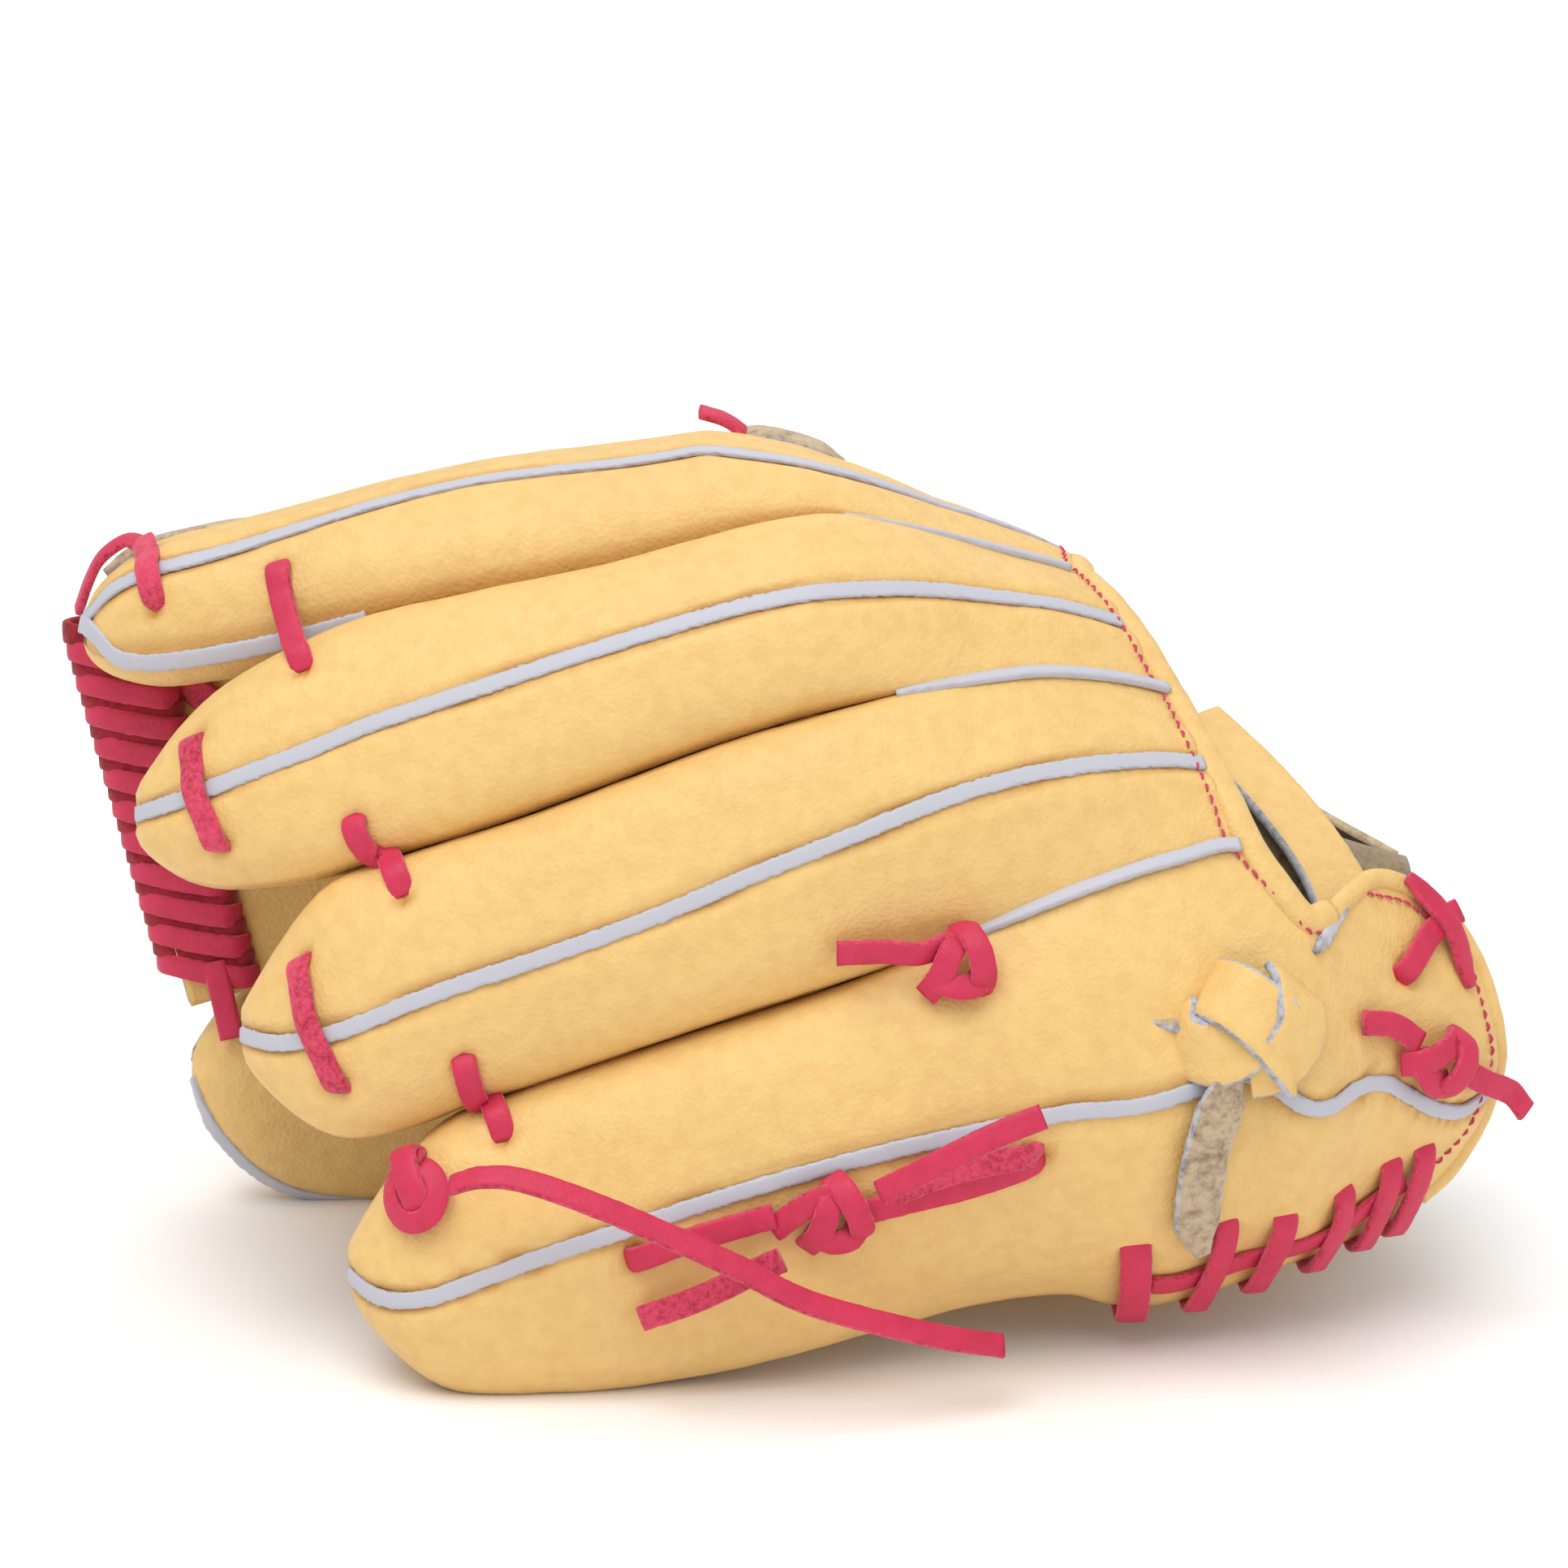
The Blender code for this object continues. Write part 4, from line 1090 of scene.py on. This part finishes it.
class GLOVE_OT_laces(bpy.types.Operator):
    """The laces between and over the fingers"""
    bl_idname = "glove.laces"
    bl_label = "Finger laces"

    def execute(self, context):
        between_fingers = {
            "index_middle": on(INDEX, (-102.8, -.62, -2), (-102.3, -.76, .9), (-101, -.93, 1.5))
            + on(MIDDLE, (-98, .96, 1.6), (-97, .84, 1), (-96.5, .72, -2)),
            "middle_ring": on(MIDDLE, (-85.5, -.7, -2), (-84.7, -.8, .9), (-82, -.95, 1.5))
            + on(RING, (-78, .97, 1.6), (-76.4, .86, 1), (-75.4, .74, -2)),
            "ring_pinky": on(RING, (-63.2, -.6, -2), (-62.4, -.72, .9), (-61, -.92, 1.5))
            + on(PINKY, (-57.8, .98, 1.7), (-56.2, .9, 1), (-55.3, .78, -2)),
        }
        over_welts = {
            "index_tip": on(INDEX, (-130.9, .3, 2), (-130.3, .05, 1.4), (-129.5, -.2, 1.2),
                            (-129, -.45, 2.2), (-128.3, -.72, 1), (-128, -.86, -2)),
            "middle_tip": on(MIDDLE, (-118.3, .64, -2), (-118.2, .52, .9), (-117.6, .25, 1),
                             (-116.7, -.05, 2.0), (-114.6, -.4, 1), (-113.2, -.6, .8),
                             (-112.8, -.7, -2)),
            "ring_tip": on(RING, (-96, .58, -2), (-95.7, .47, .9), (-95, .25, 1),
                           (-93.1, -.07, 2.0), (-90, -.4, 1), (-88.3, -.55, .8),
                           (-87.8, -.64, -2)),
        }
        for table, finishes in ((between_fingers, laces()), (over_welts, flesh_laces())):
            for name, stops in table.items():
                lace(f"{name}_lacing", stops, [f"{name}_lace"], finishes=finishes)
        return {"FINISHED"}


def square(out, right):
    """Unit out, right and up directions, with right turned square to out."""
    right = Vector(right)
    right = (right - out * right.dot(out)).normalized()
    return out, right, out.cross(right)


def knot(name, centre, out, right, bands, finishes, body, nodes, w, t, slot="lace"):
    """A tied knot from short bands given in (right, up, out) millimetres round its middle."""
    out, right, up = square(Vector(out).normalized(), right)
    for number, (route, ups) in enumerate(bands, 1):
        points = [centre + right * a + up * b + out * c for a, b, c in route]
        normals = [right * a + up * b + out * c for a, b, c in ups]
        ribbon(f"{name}_{number}", points, normals, w, t, finishes, body,
               nodes if number == 1 else (), slot, gap=0.7)


FLAT = (0, 0, 1)
SQUARE_KNOT = [
    ([(3.6, -7, -1), (5.2, -4.6, 2.8), (5.6, 0, 4.6), (4.8, 4.4, 3.2), (3.2, 6.6, -0.5)],
     [(0, -1, .2), (.1, -.5, .8), (.1, 0, 1), (0, .6, .8), (0, 1, .2)]),
    ([(-6.5, -4.6, 0), (-3.4, -2.6, 2.6), (0.2, 1.6, 3.8), (2.6, 4.8, 1.6)], [FLAT] * 4),
    ([(-4.5, -0.6, .6), (-1.6, -4.4, 2.6), (2.4, -5.6, 2.0), (5.4, -3.4, 0)], [FLAT] * 4),
    ([(-11, 1, 0), (-7.4, 2.8, 1.8), (-3, 4.2, 2.8), (1, 4.2, 2.2), (3.6, 2, 0.6)],
     [(0, .4, .9), (0, .3, 1), FLAT, FLAT, FLAT]),
]


class GLOVE_OT_knots(bpy.types.Operator):
    """The tied knots and the tails that lie on the leather"""
    bl_idname = "glove.knots"
    bl_label = "Knots"

    def execute(self, context):
        w, t = context.scene.glove.lace_width, context.scene.glove.lace_thickness
        knot("side_knot", PINKY.above(8.5, -0.09, 2.0), PINKY.out(8.5, -0.09), (0.93, 0, 0.36),
             SQUARE_KNOT, laces(), "pinky_side", ["pinky_side_knot"], w, t)
        lace("side_lace_left", on(PINKY, (-30.5, -.13, -2), (-28.4, -.12, 1.0), (-20, -.07, 1.9),
                                  (-11, -.04, 2.6), (-2, -.02, 3.2)),
             ["pinky_side_lace_tip"], "pinky_side")
        lace("side_lace_right", on(PINKY, (14, -.12, 3.0), (24, -.13, 2.2), (36, -.13, 1.8),
                                   (47, -.1, 1.2), (50.6, -.09, -2)),
             ["pinky_side_lace_heel"], None, blend=PINKY_BLEND)
        lace("side_lace_loop", on(PINKY, (22, -.05, 4.0), (30, -.02, 3.8), (40, -.02, 3.0),
                                  (47.5, -.04, 1.6), (50.4, -.07, -2)),
             (), None, flesh_laces(), blend=PINKY_BLEND)
        knot("crotch_knot", PINKY.above(33.2, 0.9, 3.0), (0, -0.9, 0.42), (0.95, 0, 0.3),
             SQUARE_KNOT[:3], laces(), "glove", ["crotch_knot"], w, t)
        lace("crotch_knot_tail", on(RING, (30, -.86, 5.6), (25, -.84, 6.2), (18, -.76, 5.0),
                                    (9.5, -.69, 3.6)), ["crotch_tail"])
        knot("heel_knot", PINKY.above(128.6, 0.13, 2.0), PINKY.out(128.6, 0.13), (0.9, 0, -0.4),
             SQUARE_KNOT[:3], laces(), "glove", ["heel_knot"], w, t)
        lace("heel_tail_left", on(PINKY, (125, .2, 3.0), (119.5, .3, 2.8), (113.5, .4, 2.0)),
             ["heel_tail_inner"])
        route, ups = over(on(PINKY, (133, .06, 3.2), (138.5, -.1, 3.8), (142.5, -.3, 5.4)))
        route.append(route[-1] + Vector((3.4, 1.0, -4.4)))
        ups.append(ups[-1])
        ribbon("heel_tail_right", route, ups, w, t, laces(), "glove", ["heel_tail_outer"])
        lace("heel_cross_up", on(PINKY, (123.6, .54, -2), (124.6, .58, .9), (129, .78, 1.2),
                                 (133.4, .95, 1.6), (134.5, 1, 2.4)), ["heel_cross_lace"])
        lace("heel_cross_down", on(PINKY, (124, 1, 2.2), (127, .96, 2.2), (132.5, .86, 2.9),
                                   (136.5, .7, 1.2), (137.8, .62, .8)), ends=0.5)
        self.tip_ring(t)
        return {"FINISHED"}

    def tip_ring(self, thick):
        """The coiled knot on the pinky's tip, with the band over it."""
        centre = PINKY.skin(-71, 0.57)
        out, right, up = square(PINKY.out(-71, 0.57), (1, 0, 0.2))
        if up.z < 0:
            up = -up
        coil, ups = [], []
        for k in range(15):
            angle = math.radians(70 + 25 * k)
            around = right * math.cos(angle) + up * math.sin(angle) * 1.15
            coil.append(centre + around * (6.2 - 0.12 * k) + out * (1.6 + 0.12 * k))
            ups.append((out + around * 0.55).normalized())
        ribbon("tip_ring", coil, ups, 4.6, thick, laces(), "pinky_side", ["pinky_tip_knot"])
        strap = [centre + right * a + up * b + out * c for a, b, c in (
            (-1.6, 9.4, -1.5), (-1.5, 9.2, 2.0), (-1, 7.2, 4.2), (-.3, 3, 5.0), (.2, -.8, 4.6),
            (.4, -3.2, 3.0), (.4, -4, 0.5))]
        ups = [up + out * .2, up + out, out + up * .4, out, out, out - up * .6, out * .3 - up]
        ribbon("tip_ring_strap", strap, ups, 5.6, thick, laces(), "pinky_side")


class GLOVE_OT_strap(bpy.types.Operator):
    """The wrist strap, its knot and its tail"""
    bl_idname = "glove.strap"
    bl_label = "Wrist strap"

    def execute(self, context):
        strap = [finish("tan grain"), finish("grey cut edge")]
        suede = [finish("suede back"), finish("grey cut edge")]
        middle = PINKY.skin(90, 0.33)
        knot("strap_knot", middle, (-0.1, -0.95, 0.3), (1, 0, 0.05), [
            ([(-7, 7, 0), (-5, 7.6, 5), (0, 5.4, 9), (6, 0, 8.4), (9.6, -6, 4), (9, -9, 0)],
             [(-.6, .4, .5), (-.3, .5, .8), (0, .2, 1), (.3, 0, .9), (.8, -.3, .5), (1, 0, 0)]),
            ([(9, 9, -1), (11.4, 5, 4), (11.4, -1, 5), (7, -7, 5.4), (1, -7.6, 5)],
             [(.8, .5, .3), (.8, .2, .6), (.7, -.1, .7), (.4, -.5, .8), (0, -.3, 1)]),
            ([(-13, 3, 1), (-12, -2, 4.4), (-6, -5, 6.4), (0, -2.4, 7.4), (4, 2.6, 6)],
             [(-.7, .2, .6), (-.6, -.3, .8), (-.2, -.3, 1), FLAT, FLAT]),
        ], strap, "glove", ["strap_knot"], 13.5, 2.4, "leather")
        knot("strap_short_end", middle, (-0.1, -0.95, 0.3), (1, 0, 0.05), [
            ([(-4, 0, 4), (-9, 1.6, 4), (-14, 2.6, 3.4), (-18.5, 4, 3)],
             [(0, .5, .8), (0, .6, .7), (0, .7, .6), (0, .8, .5)]),
        ], suede, "glove", (), 7.0, 2.0, "leather")
        route, ups = over(on(PINKY, (87.5, .2, 5), (85, .08, 4), (82, -.15, 3), (81, -.4, 2.4),
                              (81.5, -.55, 2.2), (82.6, -.66, 2.2)))
        ribbon("strap_end", route, ups, 9.5, 2.2, suede, "glove", ["strap_tail"], "leather",
               fray=0.3, ends=0.35)
        route, ups = over(on(PINKY, (104.4, .84, .4), (107, .91, .5), (109.3, .95, .5),
                              (112.5, .99, .6)))
        ribbon("strap_slot_edge", route, ups, 2.8, 1.2, [finish("grey cut edge")] * 2, "glove",
               slot="leather", fray=0.3, ends=0.3)
        route = [(86, 46, 110), (92, 40, 106), (99, 31, 101), (106, 20, 95), (112, 8, 88),
                 (115, -2, 81), (115, -8, 75)]
        ribbon("wrist_band", route, [(0.35, -0.5, 0.8)] * 7, 15.0, 3.0, strap, "glove",
               ["wrist_strap"], "leather")
        route, ups = over(on(PINKY, (73, -.82, 1.1), (79, -.84, 1.1), (92, -.82, 1.1),
                              (108, -.79, 1.1), (118, -.74, 1.1), (125, -.68, 1)))
        ribbon("heel_edge_lacing", route, ups, 5.1, 1.6, laces(), "glove", ["heel_edge_lace"])
        for k, x in enumerate((70, 83, 95, 107, 117, 124)):
            rise = 0.1 * k / 5
            lean = 0 if k == 0 else 5
            route, ups = over(on(PINKY, (x + lean, -.58 + rise, -2), (x + lean, -.64 + rise, .9),
                                  (x + lean * .6, -.78 + rise, 2.8), (x, -.94, 3.0)))
            route += [PINKY.low(x) + Vector((0, 1.0, -2.6)), PINKY.low(x - 1) + Vector((0, 6, 1))]
            ups += [Vector((0, -.3, -1)), Vector((0, .6, -.8))]
            ribbon(f"heel_loop_{k + 1}", route, ups, 6.4 if k == 0 else 5.1, 1.7, laces(), "glove")
        return {"FINISHED"}


class GLOVE_OT_bindings(bpy.types.Operator):
    """The rolled bindings and their stitching"""
    bl_idname = "glove.bindings"
    bl_label = "Bindings"

    def execute(self, context):
        route, ups, inside = [], [], []
        for wall, key in ((INDEX, "index"), (MIDDLE, "middle"), (RING, "ring")):
            low, high = ENDS[key]
            for s in (0.95, 0.5, 0, -0.5, -0.95):
                x = low + (high - low) * (s + 1) / 2
                route.append(wall.above(x + 1.5, s, -1.2))
                ups.append(wall.out(x, s))
                inside.append(wall.above(x - 2.7, s, 0.5))
        lobe = ((99, .97), (104, .965), (109, .97), (114, .985), (119, .99), (126, .99), (133, .985),
                (138, .97), (142, .93), (144.6, .78), (145.7, .3), (145.7, -.3), (144.4, -.78),
                (141, -.94), (136, -.965), (130, -.96))
        for x, s in lobe[:3]:
            route.append(PINKY.above(x, s, -1.0))
            ups.append(PINKY.out(x, s))
            inside.append(PINKY.above(x, s - .05, .5))
        tube("opening_roll", route, ups, (3.4, 2.6), ["opening_binding"])
        stitches("binding_stitches", [(inside, ups)])
        route = [PINKY.above(x, s, -0.7) for x, s in lobe[2:]]
        ups = [PINKY.out(min(x, 144), s) for x, s in lobe[2:]]
        tube("heel_roll", route, ups, (2.3, 2.1))
        rim = ((117, .93), (124.5, .9), (130.5, .87)), ((139.2, .74), (142, .4), (142.9, .09),
                                                       (141, -.35), (138.3, -.62), (131, -.72))
        lines = [([PINKY.above(x, s, .4) for x, s in line], [PINKY.out(x, s) for x, s in line])
                 for line in rim]
        stitches("rim_stitches", lines)
        return {"FINISHED"}


class GLOVE_OT_trim(bpy.types.Operator):
    """Small pieces round the web and over the ridge"""
    bl_idname = "glove.trim"
    bl_label = "Web trim"

    def execute(self, context):
        bar = [(-84, 48.2, z) for z in (95, 84, 74, 65)]
        ribbon("web_strap", bar, [(0, -1, 0)] * 4, 9.0, 1.8, [finish("tan grain"),
               finish("tan edge")], "thumb_side", ["web_bar"], "leather")
        strap = [(-121 + 1.2 * k, 45.0 - 0.9 * k, 57 - 5.5 * k) for k in range(4)]
        ribbon("web_thumb_lacing", strap, [(0, -1, 0)] * 4, 5.1, 1.8, laces(), "thumb_side",
               ["web_thumb_lace"])
        up = (0, -0.2, 1)
        suede = [finish("suede back"), finish("grey cut edge")]
        edge = [(-13, 45, 168), (-7, 46, 171.5), (0, 46, 170.8), (7, 46.5, 168.5), (12, 47, 165)]
        ribbon("top_suede_edge", edge, [up] * 5, 5.5, 1.8, suede, "glove", (), "leather", ends=0.4)
        tail = [(-3, 47, 166), (-7.5, 46.5, 171), (-12, 46, 174.5), (-17.4, 45.5, 176.4)]
        ribbon("top_lace_tail", tail, [up] * 4, 5.1, 1.7, laces(), "glove", ())
        edge = [(-141, 45, 142), (-133, 46, 147.5), (-122, 46, 150.5), (-112, 46, 152.3),
                (-104, 46, 151.5)]
        ribbon("web_top_edge", edge, [up] * 5, 4.0, 1.8, suede, "glove", (), "leather", ends=0.4)
        loop = [(-146, 38, 136), (-143.6, 37, 142.5), (-140.5, 36, 148), (-135, 35, 151.8),
                (-131, 33, 150.5)]
        ups = [(-1, -.2, .2), (-.9, -.2, .5), (-.6, -.2, .8), (0, -.2, 1), (.3, -.3, .9)]
        ribbon("index_tip_loop", loop, ups, 5.1, 1.7, laces(), "glove", ())
        return {"FINISHED"}


class GLOVE_PT_panel(bpy.types.Panel):
    """Lists the glove's pieces"""
    bl_idname = "GLOVE_PT_panel"
    bl_label = "Glove"
    bl_space_type = "VIEW_3D"
    bl_region_type = "UI"
    bl_category = "Glove"

    def draw(self, context):
        sizes = context.scene.glove
        for name in ("lace_width", "lace_thickness", "leather", "lace"):
            self.layout.prop(sizes, name)
        for step in STEPS:
            self.layout.operator(step.bl_idname)


STEPS = (GLOVE_OT_stage, GLOVE_OT_cords, GLOVE_OT_backs, GLOVE_OT_pocket, GLOVE_OT_thumb,
         GLOVE_OT_web, GLOVE_OT_welts, GLOVE_OT_laces, GLOVE_OT_knots, GLOVE_OT_strap,
         GLOVE_OT_bindings, GLOVE_OT_trim)


def register():
    for made in (GloveSizes, *STEPS, GLOVE_PT_panel):
        bpy.utils.register_class(made)
    bpy.types.Scene.glove = bpy.props.PointerProperty(type=GloveSizes)


def unregister():
    del bpy.types.Scene.glove
    for made in reversed((GloveSizes, *STEPS, GLOVE_PT_panel)):
        bpy.utils.unregister_class(made)


def main():
    register()
    for step in STEPS:
        group, name = step.bl_idname.split(".")
        deselect()
        getattr(getattr(bpy.ops, group), name)()
    sizes = {"cad": [list(c) for c in CAD_BOX], "visual": [list(c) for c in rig.bounds()]}
    with open("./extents.json", "w") as file:
        json.dump(sizes, file)


if __name__ == "__main__":
    main()
